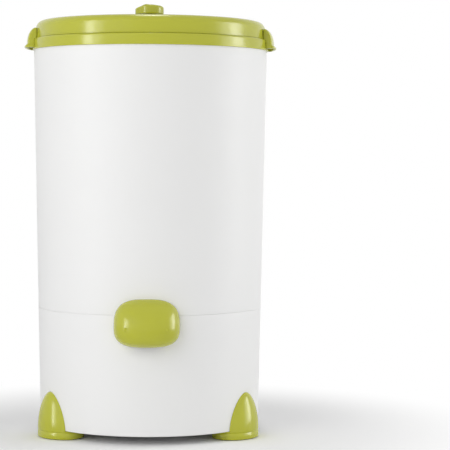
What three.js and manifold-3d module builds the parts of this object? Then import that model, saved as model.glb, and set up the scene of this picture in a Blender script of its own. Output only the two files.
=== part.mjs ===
// A laundry spin dryer: a tapered cabinet on three feet, a hinged lid with a rotary lock, and a drum
// on the shaft of a motor that stands on rubber mounts under the tub. Millimetres, +Z up. The origin
// is on the floor, on the drum's axis. The water outlet is at the front, towards -Y.

import * as THREE from 'three';
import { mergeVertices } from 'three/addons/utils/BufferGeometryUtils.js';
import Module from 'manifold-3d';

const wasm = await Module();
wasm.setup();

// ---------------------------------------------------------------- clearances
const fitGap = 0.3; // between pieces that touch
const runGap = 0.3; // between a shaft and its bore
const leadIn = 1.5; // chamfer where a shell's edge turns in
const through = 2; // how far a cutting tool passes a face
const wallReach = 15; // how far a tool reaches to each side of a curved wall
const sunk = 1; // how far a boss or leg is sunk into what it is moulded on

// ---------------------------------------------------------------- roundness of the drawn circles
const shellSides = 36;
const tubSides = 30;
const motorSides = 16;
const brakeSides = 24; // fine enough for the drum's edges to pass the lining
const smallSides = 12;
const screwSides = 8;

// ---------------------------------------------------------------- cabinet
const baseZ = 14; // lower edge of the base shell
const seamZ = 195; // seam between the two white shells
const shoulderZ = 596; // lower edge of the green ring
const shoulderRadius = 182.2; // of the cabinet, at the ring's lower edge
const seamInset = 7.4; // how much slimmer the cabinet is at the seam
const baseInset = 3.6; // how much slimmer the base is at its foot than at the seam
const baseWall = 3;
const cabinetWall = 2.4;
const seamGap = 0.6;
const baseFloor = 4; // thickness of the base shell's floor
const shelfThickness = 3;
const shelfWidth = 24.8; // from the seam's radius inwards
const shelfRise = 4; // shelf's top above the seam
const seamLipWall = 2;
const seamLipHeight = 6;
const airInletRadius = 50;

// ---------------------------------------------------------------- ring and tub
const ringHeight = 17;
const ringOverhang = 2; // how far the ring stands out from the cabinet
const ringDeck = 3;
const ringEdge = 3; // rounding of the ring's upper edge
const ringMouthInset = 22.7; // from the ring's radius to its mouth
const ringInnerWall = 2.8;
const ringSkirtDepth = 6.7; // how far the ring's inner wall hangs below its outer one
const ringSpigotDepth = 7;
const ringSpigotWall = 2;
const ringSpigotGap = 0.6; // between the spigot and the cabinet's wall
const rimSocketDepth = 9; // how far the cabinet's rim stands in the ring
const tubMouthInset = 2.5; // from the ring's mouth to the tub's outer wall
const tubWall = 3;
const tubFloor = 3.7;
const tubFlangeWidth = 6;
const flangeThickness = 3;
const collarThickness = 2;
const gasketThickness = 2.4;
const tubSealHoleRadius = 40;
const collarMouthGap = 4; // between the drum's mouth and the collar's
const collarDrop = 14;
const collarLip = 4;

// ---------------------------------------------------------------- carrying handles
const handleHalfAngle = 14; // degrees to each side of the handle's middle
const handleRise = 16.5; // from the ring's deck to the handle's top
const handleDrop = 14.3; // from the ring's deck to the handle's lip
const handleLidGap = 0.5; // between the lid's wall and the handle
const handleFingerGap = 7.2; // between the ring and the handle's inner face at its waist
const handleWaistRise = 5.7; // from the lip to the waist
const handleLipFlare = 3.5;
const handleLipWall = 2.6;
const handleEndShare = 0.35; // share of the handle's reach that is left at its very ends
const handleWall = 2.2;
const handleSteps = 8;
const handleEndInset = 2; // degrees from the handle's ends to its end walls
const handleHookHeight = 3;
const handleHookDepth = 2.2;

// ---------------------------------------------------------------- hood and drain
const hoodHalfWidth = 49.3;
const hoodBottomZ = 148;
const hoodNoseRise = 30; // from the hood's lower edge to its nose
const hoodBrowRise = 42; // from its nose to its upper edge
const hoodReach = 38; // from the wall to the nose
const hoodWall = 2.5;
const hoodRoot = 22; // how far the drawn dome reaches behind the wall before it is cut
const hoodSides = 14;
const hoodLevels = 13;
const hoodLastAngle = 88; // degrees round the outline to the first and the last level
const hoodOutlinePower = 2.9; // superellipse powers: of the outline on the wall,
const hoodSidePower = 2.7; // of a level section,
const hoodTopPower = 1.6; // of the profile above the nose
const hoodLowerPower = 2.5; // and of the profile below it
const hoodSlotHalfWidth = 22;
const hoodSlotReach = 12.5; // from the wall, so that it doesn't show from the front
const hoodSlotHeight = 12;
const hoodHookSpacing = 30;
const hoodHookWidth = 4;
const hoodHookHeight = 5;
const hoodHookGrip = 1.4; // how far a hook stands past the wall
const drainRadius = 9;
const drainWall = 2;
const drainInletGap = 15; // between the inlet and the tub's wall
const drainZ = 178;
const drainBend = 12;
const drainFlangeRadius = 14;
const drainPastWall = 12; // how far the pipe reaches into the hood, over its slot
const drainFall = 3;
const drainHoleGap = 1.2; // lets the sloping pipe through the wall
const drainFlangeThickness = 2.5;
const drainSides = 10;
const drainSteps = 9;

// ---------------------------------------------------------------- lid
const lidInset = 4.4; // from the ring's radius to the lid's
const lidDraft = 0.6; // how much slimmer the lid's wall is at its top
const lidGap = 1; // between the ring's deck and the lid's edge
const lidWallHeight = 15.4;
const lidFillet = 11.5;
const lidFilletSteps = 3;
const lidCrownRadii = [95, 16]; // where the crown's outline has its points
const lidCrownRise = 5.4; // from the fillet's top to the middle of the crown
const lidWall = 2.4;
const lidBossRise = 0.4;
const panGap = 3; // between the ring's mouth and the pan
const panWall = 2.5;
const panDrop = 12; // how far the pan hangs below the ring's deck
const panFlangeGap = 1.2; // between the pan's flange and the lid's wall
const lidGasketHeight = 2.7;
const lidGasketInset = 5.5; // from the pan's wall to the gasket
const lidGasketWidth = 7;
const lidScrewCircle = 130;
const lidScrewCount = 3;
const lidScrewStart = 90; // degrees from +X, clear of the latch bolt
const screwRadius = 1.8;
const screwHeadRadius = 4;
const screwHeadHeight = 2.3;
const screwReach = 13;
const bossRadius = 5;

// ---------------------------------------------------------------- hinge
const hingeSetback = 14.8; // from the ring's outer wall to the pin's axis
const hingeRise = 5; // from the ring's deck to the pin's axis
const hingePinRadius = 2.5;
const hingePinHead = 4;
const hingePinHeadThickness = 1.5;
const knuckleRadius = 6;
const knuckleHalfWidth = 17;
const earRadius = 8.2;
const earWidth = 5.5;
const earWebRoot = 3; // how far the ears' webs reach into the ring's wall
const earWebBehind = 2; // how far the webs reach behind the pin's axis
const earWebRise = 2; // from the ring's lower edge to the webs

// ---------------------------------------------------------------- lock
const knobRadius = 20.3;
const knobPointerReach = 24.5;
const knobPointerTipHalf = 5;
const knobPointerRootHalf = 15;
const knobPointerRoot = 6; // distance of the pointer's root from the axis
const knobPointerTaper = 0.8; // width of its upper face against its lower one
const knobEdge = 1; // rounding of the knob's edges
const knobSides = 18;
const knobGap = 5.8; // between the lid's boss and the knob's lower face
const knobSideHeight = 8.4;
const knobCrown = 7.8; // from the knob's shoulder to its top
const knobTopRadius = 13;
const knobStemRadius = 9;
const knobSocketDepth = 9;
const shaftRadius = 6;
const shaftBossWall = 3.4;
const camRadius = 34;
const camRise = 7.2; // from the bolt's underside to the cam
const camThickness = 4;
const camSides = 24;
const camSteps = 9;
const camOverrun = 11; // degrees that the slot runs on past each end of the turn
const boltTravel = 12;
const boltHalfWidth = 8;
const boltHeight = 5;
const boltPinStart = 16; // distance of the bolt's pin from the axis when unlocked
const boltPinRadius = 2;
const boltTailReach = 12;
const boltSlotGap = 1;
const railWidth = 3;
const railHeight = 4;
const railLength = 120;
const railInset = 6; // from the pan's wall to the rails
const plungerTravel = 3.5;
const plungerRadius = 2;
const plungerLength = 4.5;
const plungerHold = 0.5; // how far the plunger stands in the switch at rest
const switchHalfWidth = 12;
const switchDepth = 5;
const switchHeight = 18;
const switchBoreDepth = 4.4;

// ---------------------------------------------------------------- drum
const drumGap = 16; // between the tub's inner wall and the drum
const drumWall = 1.5;
const drumFloorRise = 32.7; // from the tub's underside to the drum's floor
const drumTopGap = 6.3; // between the drum's top and the splash collar's lip
const drumMouthInset = 22;
const drumCorner = 12;
const drumMouthLip = 3;
const drumHoleSides = 6;
const drumHoleRadius = 3;
const drumHoleColumns = 10;
const drumHoleRows = 4;
const drumHoleRise = 30; // from the drum's floor to the first row
const drumHolePitch = 80;
const hubRadius = 48;
const hubThickness = 8;
const hubSpigotRadius = 10;
const hubNeckRadius = 16;
const hubNeckHeight = 6;
const hubFillet = 4;
const hubRim = 3; // thickness of the hub at its edge
const nutRadius = 12;
const nutHeight = 10;
const nutCollarRadius = 18;
const nutCollarHeight = 3;
const shaftPastNut = 2;
const nutSides = 6;

// ---------------------------------------------------------------- motor
const motorShaftRadius = 7;
const shaftRise = 6; // from the base's floor to the shaft's lower end
const plateDrop = 49.3; // from the tub's underside to the motor's plate
const plateThickness = 3;
const plateHoleRadius = 40;
const plateMargin = 4; // how far the plate reaches past the motor
const plateArmHalfWidth = 20;
const mountCircle = 105;
const mountRadius = 12;
const mountHeight = 19.7;
const mountWaist = 1.5; // how much slimmer a buffer is at its middle
const studRadius = 3;
const studRise = 6; // how far a stud stands above the motor's plate
const studReach = 10;
const postRadius = 9;
const motorRadius = 62;
const bellWall = 3.7;
const bellHeight = 9.4;
const statorLength = 60;
const statorWall = 25.6;
const airGap = 1; // between the stator and the rotor
const rotorInset = 4;
const bearingRadius = 17;
const bearingHeight = 12;
const bearingSeatRise = 8; // from the plate's underside to the upper bearing
const bearingSeatDrop = 8.4; // from the lower bell's rim to the lower bearing
const bellRim = 3;
const bellShaftGap = 2;
const lowerHousingWall = 4.7;
const lowerHousingDrop = 3;
const housingWall = 6.7;
const housingHeight = 24;
const fanRadius = 48;
const fanHeight = 10;
const fanGap = 2; // between the brake's drum and the fan
const fanHubRadius = 12;
const fanBlades = 6;
const fanBladeThickness = 2;
const sealThickness = 3.6; // wall of the cuff
const sealWall = 2.6;
const sealRim = 6;
const sealRimHeight = 2;
const sealNeckDrop = 4.5; // below the tub's underside, where the neck ends
const sealWaist = 6.2;
const sealWaistDrop = 11.7;
const sealThroatDrop = 15.3; // where the sleeve has drawn in to the cuff
const sealGrip = 6; // how far the cuff reaches down over the housing

// ---------------------------------------------------------------- brake
const brakeRadius = 30;
const brakeRise = 10; // from the base's floor to the brake's drum
const brakeHeight = 14;
const brakeRim = 3;
const brakeWeb = 4;
const liningThickness = 6;
const liningHalfLength = 12;
const armThickness = 6.5;
const armHeight = 8;
const armRise = 3; // from the brake drum's lower edge to the arm
const pivotX = 42;
const pivotY = -49;
const pivotRadius = 3;
const pivotPastArm = 7;
const pivotFoot = 2; // how much wider the pivot's foot is
const armEyeRadius = 7;
const armEndY = -82;
const armPastLining = 2;
const springRadius = 5;
const springWire = 0.8;
const springTurns = 2.5;
const springPitch = 1.9;
const springStepsPerTurn = 8;
const springSides = 5;
const cableRadius = 2.2;
const cableSides = 6;
const cableSteps = 20;
const cableAtShelf = [40, -161, 200]; // where it passes the base shell's shelf
const cableRoute = [
  [42, -86, 35],
  [44, -110, 40],
  [46, -140, 70],
  [42, -160.3, 120],
  cableAtShelf,
  [38, -163, 400],
  [32, -168, 560],
  [16, -172, 582],
  [9, -173.2, 590.4],
];
const cableHoleRadius = 4;

// ---------------------------------------------------------------- small parts in the base
const capacitorX = 112;
const capacitorY = 62;
const capacitorRadius = 20;
const capacitorHeight = 72;
const terminalRadius = 4;
const terminalHeight = 8;
const clipWall = 1.8;
const clipHeight = 10;
const clipRise = 27; // from the base's floor to the clip's band
const clipLegWidth = 12;
const clipFootReach = 12;
const clipTurn = 200; // degrees from +X to the clip's foot
const glandZ = 110;
const glandRadius = 9;
const glandBore = 3.6;
const glandFlangeRadius = 12;
const glandFlangeThickness = 3;
const glandReach = 14;
const grilleRadius = 55;
const grilleThickness = 2;
const grilleSides = 24;
const grilleSlots = 12;
const grilleSlotInner = 16;
const grilleSlotOuter = 46;
const grilleSlotWidth = 5;

// ---------------------------------------------------------------- feet
const footAngles = { left: -60, right: 60, rear: 180 }; // degrees from the front, towards +X
const footCentreInset = 16.3; // from the base's foot radius to the foot's centre
const footRadial = 33.6;
const footTangential = 42.8;
const lugHeight = 54.5;
const lugStartRise = 1; // from the base's lower edge to where the lug starts to taper
const lugPower = 1.75;
const lugSteps = 5;
const lugTip = 0.02; // share of the plan that is left at the lug's tip
const footSides = 18;
const footUndersideZ = 1;
const soleThickness = 2.7;
const soleRecess = 2;
const soleInset = 4;
const soleAccessRadius = 6;
const footScrewInset = 6.9; // from the foot's centre to its screw
const footScrewHeadZ = 3.4;
const footScrewLength = 21.6;
const footBossRadius = 6;
const footBossHeight = 10;

// ---------------------------------------------------------------- finishes
const finish = (name, color, roughness, metalness) =>
  Object.assign(new THREE.MeshStandardMaterial({ color, roughness, metalness }), { name });
const whitePlastic = () => finish('white plastic', 0xeeeeee, 0.42, 0);
const greenPlastic = () => finish('green plastic', 0xbabb50, 0.3, 0);
const greyPlastic = () => finish('grey plastic', 0x9a9c98, 0.5, 0);
const blackPlastic = () => finish('black plastic', 0x26272a, 0.5, 0);
const rubber = () => finish('rubber', 0x2b2b2c, 0.85, 0);
const steel = () => finish('steel', 0xb9bcc0, 0.32, 1);
const castMetal = () => finish('cast metal', 0x8b8f93, 0.55, 1);
const darkIron = () => finish('laminated iron', 0x55585c, 0.6, 1);
const frictionPad = () => finish('friction pad', 0x4a3c33, 0.95, 0);

// ---------------------------------------------------------------- solids
const degrees = THREE.MathUtils.degToRad;

/** A closed solid from a geometry, with its faces turned outwards. */
function solid(geometry) {
  const bare = new THREE.BufferGeometry();
  bare.setAttribute('position', geometry.getAttribute('position').clone());
  if (geometry.index) bare.setIndex(geometry.index.clone());
  const merged = mergeVertices(bare, 1e-4);
  const kept = [];
  const index = merged.index.array;
  for (let i = 0; i < index.length; i += 3) {
    const [a, b, c] = [index[i], index[i + 1], index[i + 2]];
    if (a !== b && b !== c && c !== a) kept.push(a, b, c);
  }
  const vertProperties = new Float32Array(merged.getAttribute('position').array);
  const made = (triVerts) =>
    new wasm.Manifold(new wasm.Mesh({ numProp: 3, vertProperties, triVerts: new Uint32Array(triVerts) }));
  const first = made(kept);
  if (first.volume() > 0) return first;
  const turned = [];
  for (let i = 0; i < kept.length; i += 3) turned.push(kept[i], kept[i + 2], kept[i + 1]);
  return made(turned);
}

/** The solid's faces as a geometry with flat normals. */
function faces(body) {
  const mesh = body.getMesh();
  const geometry = new THREE.BufferGeometry();
  const points = new Float32Array(mesh.numVert * 3);
  for (let i = 0; i < mesh.numVert; i++) {
    for (let k = 0; k < 3; k++) points[3 * i + k] = mesh.vertProperties[mesh.numProp * i + k];
  }
  geometry.setAttribute('position', new THREE.BufferAttribute(points, 3));
  geometry.setIndex(new THREE.BufferAttribute(new Uint32Array(mesh.triVerts), 1));
  geometry.computeVertexNormals();
  return geometry;
}

/** A profile of [radius, z] points turned about the Z axis. A closed profile needs no repeated point. */
function turned(profile, sides = shellSides) {
  const points = profile.map(([radius, z]) => new THREE.Vector2(radius, z));
  points.push(points[0].clone());
  return solid(new THREE.LatheGeometry(points, sides).rotateX(Math.PI / 2));
}

const ring = (outer, inner, z0, z1, sides = smallSides) =>
  turned([[outer, z0], [outer, z1], [inner, z1], [inner, z0]], sides);

const disc = (radius, z0, z1, sides = smallSides) =>
  turned([[0, z0], [radius, z0], [radius, z1], [0, z1]], sides);

const box = (x0, x1, y0, y1, z0, z1) =>
  solid(new THREE.BoxGeometry(x1 - x0, y1 - y0, z1 - z0))
    .translate([(x0 + x1) / 2, (y0 + y1) / 2, (z0 + z1) / 2]);

/** A rod along X, about (y, z). */
const rodX = (radius, x0, x1, y, z, sides = smallSides) =>
  disc(radius, x0, x1, sides).rotate([0, 90, 0]).translate([0, y, z]);

/** A rod along Y, about (x, z). */
const rodY = (radius, y0, y1, x, z, sides = smallSides) =>
  disc(radius, y0, y1, sides).rotate([-90, 0, 0]).translate([x, 0, z]);

/** A closed skin through rings of points. The first and last ring are closed by flat fans. */
function lofted(rings) {
  const count = rings[0].length;
  const position = rings.flat(2);
  const index = [];
  for (let r = 0; r + 1 < rings.length; r++) {
    for (let i = 0; i < count; i++) {
      const [a, b] = [r * count + i, r * count + ((i + 1) % count)];
      index.push(a, b, b + count, a, b + count, a + count);
    }
  }
  const last = (rings.length - 1) * count;
  for (let i = 1; i + 1 < count; i++) {
    index.push(0, i + 1, i);
    index.push(last, last + i, last + i + 1);
  }
  const geometry = new THREE.BufferGeometry();
  geometry.setAttribute('position', new THREE.Float32BufferAttribute(position, 3));
  geometry.setIndex(index);
  return solid(geometry);
}

/** A plan outline raised along Z. */
function raised(outline, z0, z1, hole) {
  const shape = new THREE.Shape(outline.map(([x, y]) => new THREE.Vector2(x, y)));
  if (hole) shape.holes.push(new THREE.Path(hole.map(([x, y]) => new THREE.Vector2(x, y))));
  const geometry = new THREE.ExtrudeGeometry(shape, { depth: z1 - z0, bevelEnabled: false });
  return solid(geometry).translate([0, 0, z0]);
}

/** A tube of the given section along a smooth route. */
function swept(route, outer, inner, steps, sides) {
  const circle = (radius) => {
    const points = [];
    for (let i = 0; i < sides; i++) {
      const angle = (2 * Math.PI * i) / sides;
      points.push(new THREE.Vector2(radius * Math.cos(angle), radius * Math.sin(angle)));
    }
    return points;
  };
  const shape = new THREE.Shape(circle(outer));
  if (inner) shape.holes.push(new THREE.Path(circle(inner)));
  return solid(new THREE.ExtrudeGeometry(shape, { extrudePath: route, steps, bevelEnabled: false }));
}

const root = new THREE.Group();

/** Adds one named piece, and places it by a turn about the Z axis where it is one of several. */
function piece(name, body, material, turn = 0) {
  const mesh = new THREE.Mesh(faces(body), material);
  mesh.name = name;
  mesh.rotation.z = degrees(turn);
  root.add(mesh);
}

// ---------------------------------------------------------------- shared places
const seamRadius = shoulderRadius - seamInset;
const baseRadius = seamRadius - baseInset;
const ringRadius = shoulderRadius + ringOverhang;
const ringMouthRadius = ringRadius - ringMouthInset;
const ringSpigotRadius = shoulderRadius - cabinetWall - ringSpigotGap - ringSpigotWall;
const tubRadius = ringMouthRadius - tubMouthInset;
const tubFlangeRadius = tubRadius + tubFlangeWidth;
const drumRadius = tubRadius - tubWall - drumGap;
const drumMouthRadius = drumRadius - drumMouthInset;
const collarMouthRadius = drumMouthRadius + collarMouthGap;
const lidRadius = ringRadius - lidInset;
const lidTopRadius = lidRadius - lidDraft;
const panRadius = ringMouthRadius - panGap;
const panFlangeRadius = lidRadius - lidWall - panFlangeGap;
const lidGasketInner = panRadius + lidGasketInset;
const lidGasketOuter = lidGasketInner + lidGasketWidth;
const handleInnerRadius = lidRadius + handleLidGap;
const handleWaistRadius = ringRadius + handleFingerGap + handleWall;
const handleLipRadius = handleWaistRadius + handleLipFlare;
const hingeY = ringRadius + hingeSetback;
const hoodNoseZ = hoodBottomZ + hoodNoseRise;
const hoodTopZ = hoodNoseZ + hoodBrowRise;
const footCentre = baseRadius - footCentreInset;
const footScrewCircle = footCentre - footScrewInset;

/** The cabinet's outer radius at a height. */
function bodyRadius(z) {
  if (z < seamZ) return baseRadius + ((seamRadius - baseRadius) * (z - baseZ)) / (seamZ - baseZ);
  return seamRadius + ((shoulderRadius - seamRadius) * (z - seamZ)) / (shoulderZ - seamZ);
}

const shelfInnerRadius = seamRadius - shelfWidth;
const floorTopZ = baseZ + baseFloor;
const shelfTopZ = seamZ + shelfRise;
const tubBottomZ = shelfTopZ + fitGap;
const drumFloorZ = tubBottomZ + drumFloorRise;
const plateZ = tubBottomZ - plateDrop;
const plateDiscRadius = motorRadius + plateMargin;
const statorBoreRadius = motorRadius - statorWall;
const rotorRadius = statorBoreRadius - airGap;
const shaftBottomZ = floorTopZ + shaftRise;
const brakeZ = floorTopZ + brakeRise;
const fanZ = brakeZ + brakeHeight + fanGap;
const armZ = brakeZ + armRise;
const pivotTopZ = armZ + armHeight + pivotPastArm;
const clipZ = floorTopZ + clipRise;
const lugStartZ = baseZ + lugStartRise;
const lugTopZ = lugStartZ + lugHeight;
const drainInletY = -(tubRadius - tubWall - drainRadius - drainInletGap);
const ringTopZ = shoulderZ + ringHeight;
const lidEdgeZ = ringTopZ + lidGap;
const lidWallTopZ = lidEdgeZ + lidWallHeight;
const lidCrownZ = lidWallTopZ + lidFillet + lidCrownRise;
const lidBossTopZ = lidCrownZ + lidBossRise;
const panFloorZ = ringTopZ - panDrop;
const panFlangeZ = ringTopZ + lidGasketHeight + 2 * fitGap;
const hingeZ = ringTopZ + hingeRise;
const handleTopZ = ringTopZ + handleRise;
const handleBottomZ = ringTopZ - handleDrop;
const handleWaistZ = handleBottomZ + handleWaistRise;
const knobBottomZ = lidBossTopZ + knobGap;
const knobShoulderZ = knobBottomZ + knobSideHeight;
const knobTopZ = knobShoulderZ + knobCrown;
const handleEndAngle = handleHalfAngle - handleEndInset;
const deckUndersideZ = ringTopZ - ringDeck;
const ringSkirtZ = shoulderZ - ringSkirtDepth;
const gasketZ = ringSkirtZ - fitGap - gasketThickness;
const collarZ = gasketZ - fitGap - collarThickness;
const tubTopZ = collarZ - fitGap;
const drumTopZ = collarZ - collarDrop - collarLip - drumTopGap;
const boltZ = panFloorZ + panWall + fitGap;
const camZ = boltZ + camRise;
const camTopZ = camZ + camThickness;
const boltTipRest = panRadius - fitGap;
const boltTipLocked = boltTipRest + boltTravel;
const plungerTipRest = boltTipLocked + fitGap - plungerTravel;
const switchFace = plungerTipRest + plungerLength - plungerHold;
const boltAxisZ = boltZ + boltHeight / 2;
const wallCutter = (z0, z1) =>
  turned([[0, z0], [bodyRadius(z0) + fitGap, z0], [bodyRadius(z1) + fitGap, z1], [0, z1]]);
const mountAngles = [90, 210, 330]; // degrees from +X
const onCircle = (radius, angle) => [radius * Math.cos(degrees(angle)), radius * Math.sin(degrees(angle))];
/** Turns a body about the Z axis from the front to an angle towards +X. */
const turnFromFront = (body, angle) => body.rotate([0, 0, angle]);
const earOuterX = knuckleHalfWidth + fitGap + earWidth;
const hingeBore = () =>
  rodX(hingePinRadius + runGap, -earOuterX - through, earOuterX + through, hingeY, hingeZ);

const lidScrewPlace = (i) => onCircle(lidScrewCircle, lidScrewStart + (360 / lidScrewCount) * i);

// ---------------------------------------------------------------- cabinet shells
function baseShell() {
  const lipOuter = seamRadius - cabinetWall - fitGap;
  const lipInner = lipOuter - seamLipWall;
  const topEdgeZ = seamZ - seamGap / 2;
  let shell = turned([
    [baseRadius - leadIn, baseZ],
    [baseRadius, baseZ + leadIn],
    [seamRadius, topEdgeZ],
    [lipOuter, topEdgeZ],
    [lipOuter, seamZ + seamLipHeight],
    [lipInner, seamZ + seamLipHeight],
    [lipInner, shelfTopZ],
    [shelfInnerRadius, shelfTopZ],
    [shelfInnerRadius, shelfTopZ - shelfThickness],
    [bodyRadius(shelfTopZ - shelfThickness) - baseWall, shelfTopZ - shelfThickness],
    [bodyRadius(floorTopZ) - baseWall, floorTopZ],
    [airInletRadius, floorTopZ],
    [airInletRadius, baseZ],
  ]);
  for (const angle of mountAngles) {
    const [x, y] = onCircle(mountCircle, angle);
    const postTopZ = plateZ - fitGap - mountHeight - fitGap;
    const post = disc(postRadius, floorTopZ - sunk, postTopZ);
    const bore = disc(studRadius + runGap, postTopZ - studReach - through, postTopZ + through);
    shell = shell.add(post.translate([x, y, 0])).subtract(bore.translate([x, y, 0]));
  }
  for (const angle of Object.values(footAngles)) {
    const boss = disc(footBossRadius, floorTopZ - sunk, floorTopZ + footBossHeight);
    const hole = disc(screwRadius + fitGap, baseZ - through, floorTopZ + footBossHeight + through);
    const place = (body) => turnFromFront(body.translate([0, -footScrewCircle, 0]), angle);
    shell = shell.add(place(boss)).subtract(place(hole));
  }
  const wallY = bodyRadius(drainZ);
  const drainHole = rodY(drainRadius + drainHoleGap, -wallY - wallReach, -wallY + wallReach, 0, drainZ);
  shell = shell.subtract(drainHole.translate([0, 0, -drainFall / 2]));
  for (const side of [-1, 1]) {
    const x = side * hoodHookSpacing;
    const [half, tall] = [hoodHookWidth / 2 + fitGap, hoodHookHeight / 2 + fitGap];
    shell = shell.subtract(
      box(x - half, x + half, -wallY - wallReach, -wallY + wallReach, drainZ - tall, drainZ + tall));
  }
  const glandY = bodyRadius(glandZ);
  shell = shell.subtract(rodY(glandRadius + fitGap, glandY - wallReach, glandY + wallReach, 0, glandZ));
  const [cableX, cableY] = cableAtShelf;
  return shell.subtract(
    disc(cableHoleRadius, shelfTopZ - shelfThickness - through, shelfTopZ + through)
      .translate([cableX, cableY, 0]));
}

function upperCabinet() {
  const rimZ = shoulderZ + rimSocketDepth - fitGap;
  const lowZ = seamZ + seamGap / 2;
  return turned([
    [bodyRadius(lowZ), lowZ],
    [bodyRadius(rimZ), rimZ],
    [bodyRadius(rimZ) - cabinetWall, rimZ],
    [bodyRadius(lowZ) - cabinetWall, lowZ],
  ]);
}

// ---------------------------------------------------------------- ring, collar and tub
function topRing() {
  const spigotOuter = ringSpigotRadius + ringSpigotWall;
  const socketOuter = bodyRadius(shoulderZ + rimSocketDepth) + fitGap;
  const skirtOuter = ringMouthRadius + ringInnerWall;
  const spigotZ = shoulderZ - ringSpigotDepth;
  let body = turned([
    [ringRadius, shoulderZ],
    [ringRadius, ringTopZ - ringEdge],
    [ringRadius - 0.3 * ringEdge, ringTopZ - 0.3 * ringEdge],
    [ringRadius - ringEdge, ringTopZ],
    [ringMouthRadius + leadIn, ringTopZ],
    [ringMouthRadius, ringTopZ - leadIn],
    [ringMouthRadius, ringSkirtZ],
    [skirtOuter, ringSkirtZ],
    [skirtOuter, deckUndersideZ],
    [ringSpigotRadius, deckUndersideZ],
    [ringSpigotRadius, spigotZ],
    [spigotOuter, spigotZ],
    [spigotOuter, shoulderZ + rimSocketDepth],
    [socketOuter, shoulderZ + rimSocketDepth],
    [socketOuter, shoulderZ],
  ]);
  const earInner = knuckleHalfWidth + fitGap;
  for (const side of [-1, 1]) {
    const [x0, x1] = [side * earInner, side * (earInner + earWidth)].sort((a, b) => a - b);
    const ear = rodX(earRadius, x0, x1, hingeY, hingeZ);
    const [webZ0, webZ1] = [shoulderZ + earWebRise, hingeZ - knuckleRadius];
    const web = box(x0, x1, ringRadius - earWebRoot, hingeY + earWebBehind, webZ0, webZ1);
    const brace = box(
      x0, x1, hingeY - earRadius + sunk, hingeY + earWebBehind, hingeZ - earRadius, hingeZ);
    body = body.add(ear).add(web).add(brace);
  }
  body = body.subtract(hingeBore());
  // the notch for the latch bolt: it is open downwards, so the ring can leave its mould
  const slotHalf = boltHalfWidth + boltSlotGap;
  body = body.subtract(box(
    -slotHalf, slotHalf, -skirtOuter - through, -ringMouthRadius + through,
    ringSkirtZ - through, boltZ + boltHeight + boltSlotGap));
  // the slots for the handles' hooks
  for (const side of [-90, 90]) {
    for (const offset of [-handleEndAngle, handleEndAngle]) {
      body = body.subtract(turnFromFront(handleHook(fitGap), side + offset));
    }
  }
  return body;
}

/** A handle's hook at the front, with an allowance all round. The same shape cuts the ring. */
function handleHook(allowance) {
  const z = deckUndersideZ - handleHookHeight;
  const half = handleWall + allowance;
  return box(
    -half, half, -ringRadius - handleWall, -ringRadius + handleHookDepth + allowance,
    z - handleHookHeight / 2 - allowance, z + handleHookHeight / 2 + allowance);
}

function innerTub() {
  const inner = tubRadius - tubWall;
  const body = turned([
    [tubSealHoleRadius, tubBottomZ],
    [tubRadius, tubBottomZ],
    [tubRadius, tubTopZ - flangeThickness],
    [tubFlangeRadius, tubTopZ - flangeThickness],
    [tubFlangeRadius, tubTopZ],
    [inner, tubTopZ],
    [inner, tubBottomZ + tubFloor],
    [tubSealHoleRadius, tubBottomZ + tubFloor],
  ], tubSides);
  const outlet = disc(drainRadius + fitGap, tubBottomZ - through, tubBottomZ + tubFloor + through);
  return body.subtract(outlet.translate([0, drainInletY, 0]));
}

function splashCollar() {
  const top = collarZ + collarThickness;
  const slopeStart = tubRadius - tubWall - 2;
  const outer = ringMouthRadius + ringInnerWall;
  const mouthZ = collarZ - collarDrop;
  return turned([
    [outer, collarZ],
    [outer, top],
    [slopeStart, top],
    [collarMouthRadius + collarThickness, mouthZ + collarThickness],
    [collarMouthRadius, mouthZ],
    [collarMouthRadius, mouthZ - collarLip],
    [collarMouthRadius + collarThickness, mouthZ - collarLip],
    [collarMouthRadius + 2 * collarThickness, mouthZ],
    [slopeStart - 1, collarZ],
  ], tubSides);
}

const tubGasket = () => {
  const outer = ringMouthRadius + ringInnerWall;
  return ring(outer, ringMouthRadius - leadIn, gasketZ, gasketZ + gasketThickness, tubSides);
};

// ---------------------------------------------------------------- handles
/** A point of the handle's section: a quarter ellipse from its top down to its waist. */
function handleCurve(inset, share) {
  const angle = (Math.PI / 2) * share;
  const reach = handleWaistRadius - handleInnerRadius - inset;
  const rise = handleTopZ - handleWaistZ - inset;
  return [handleInnerRadius + reach * Math.sin(angle), handleWaistZ + rise * Math.cos(angle)];
}

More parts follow.
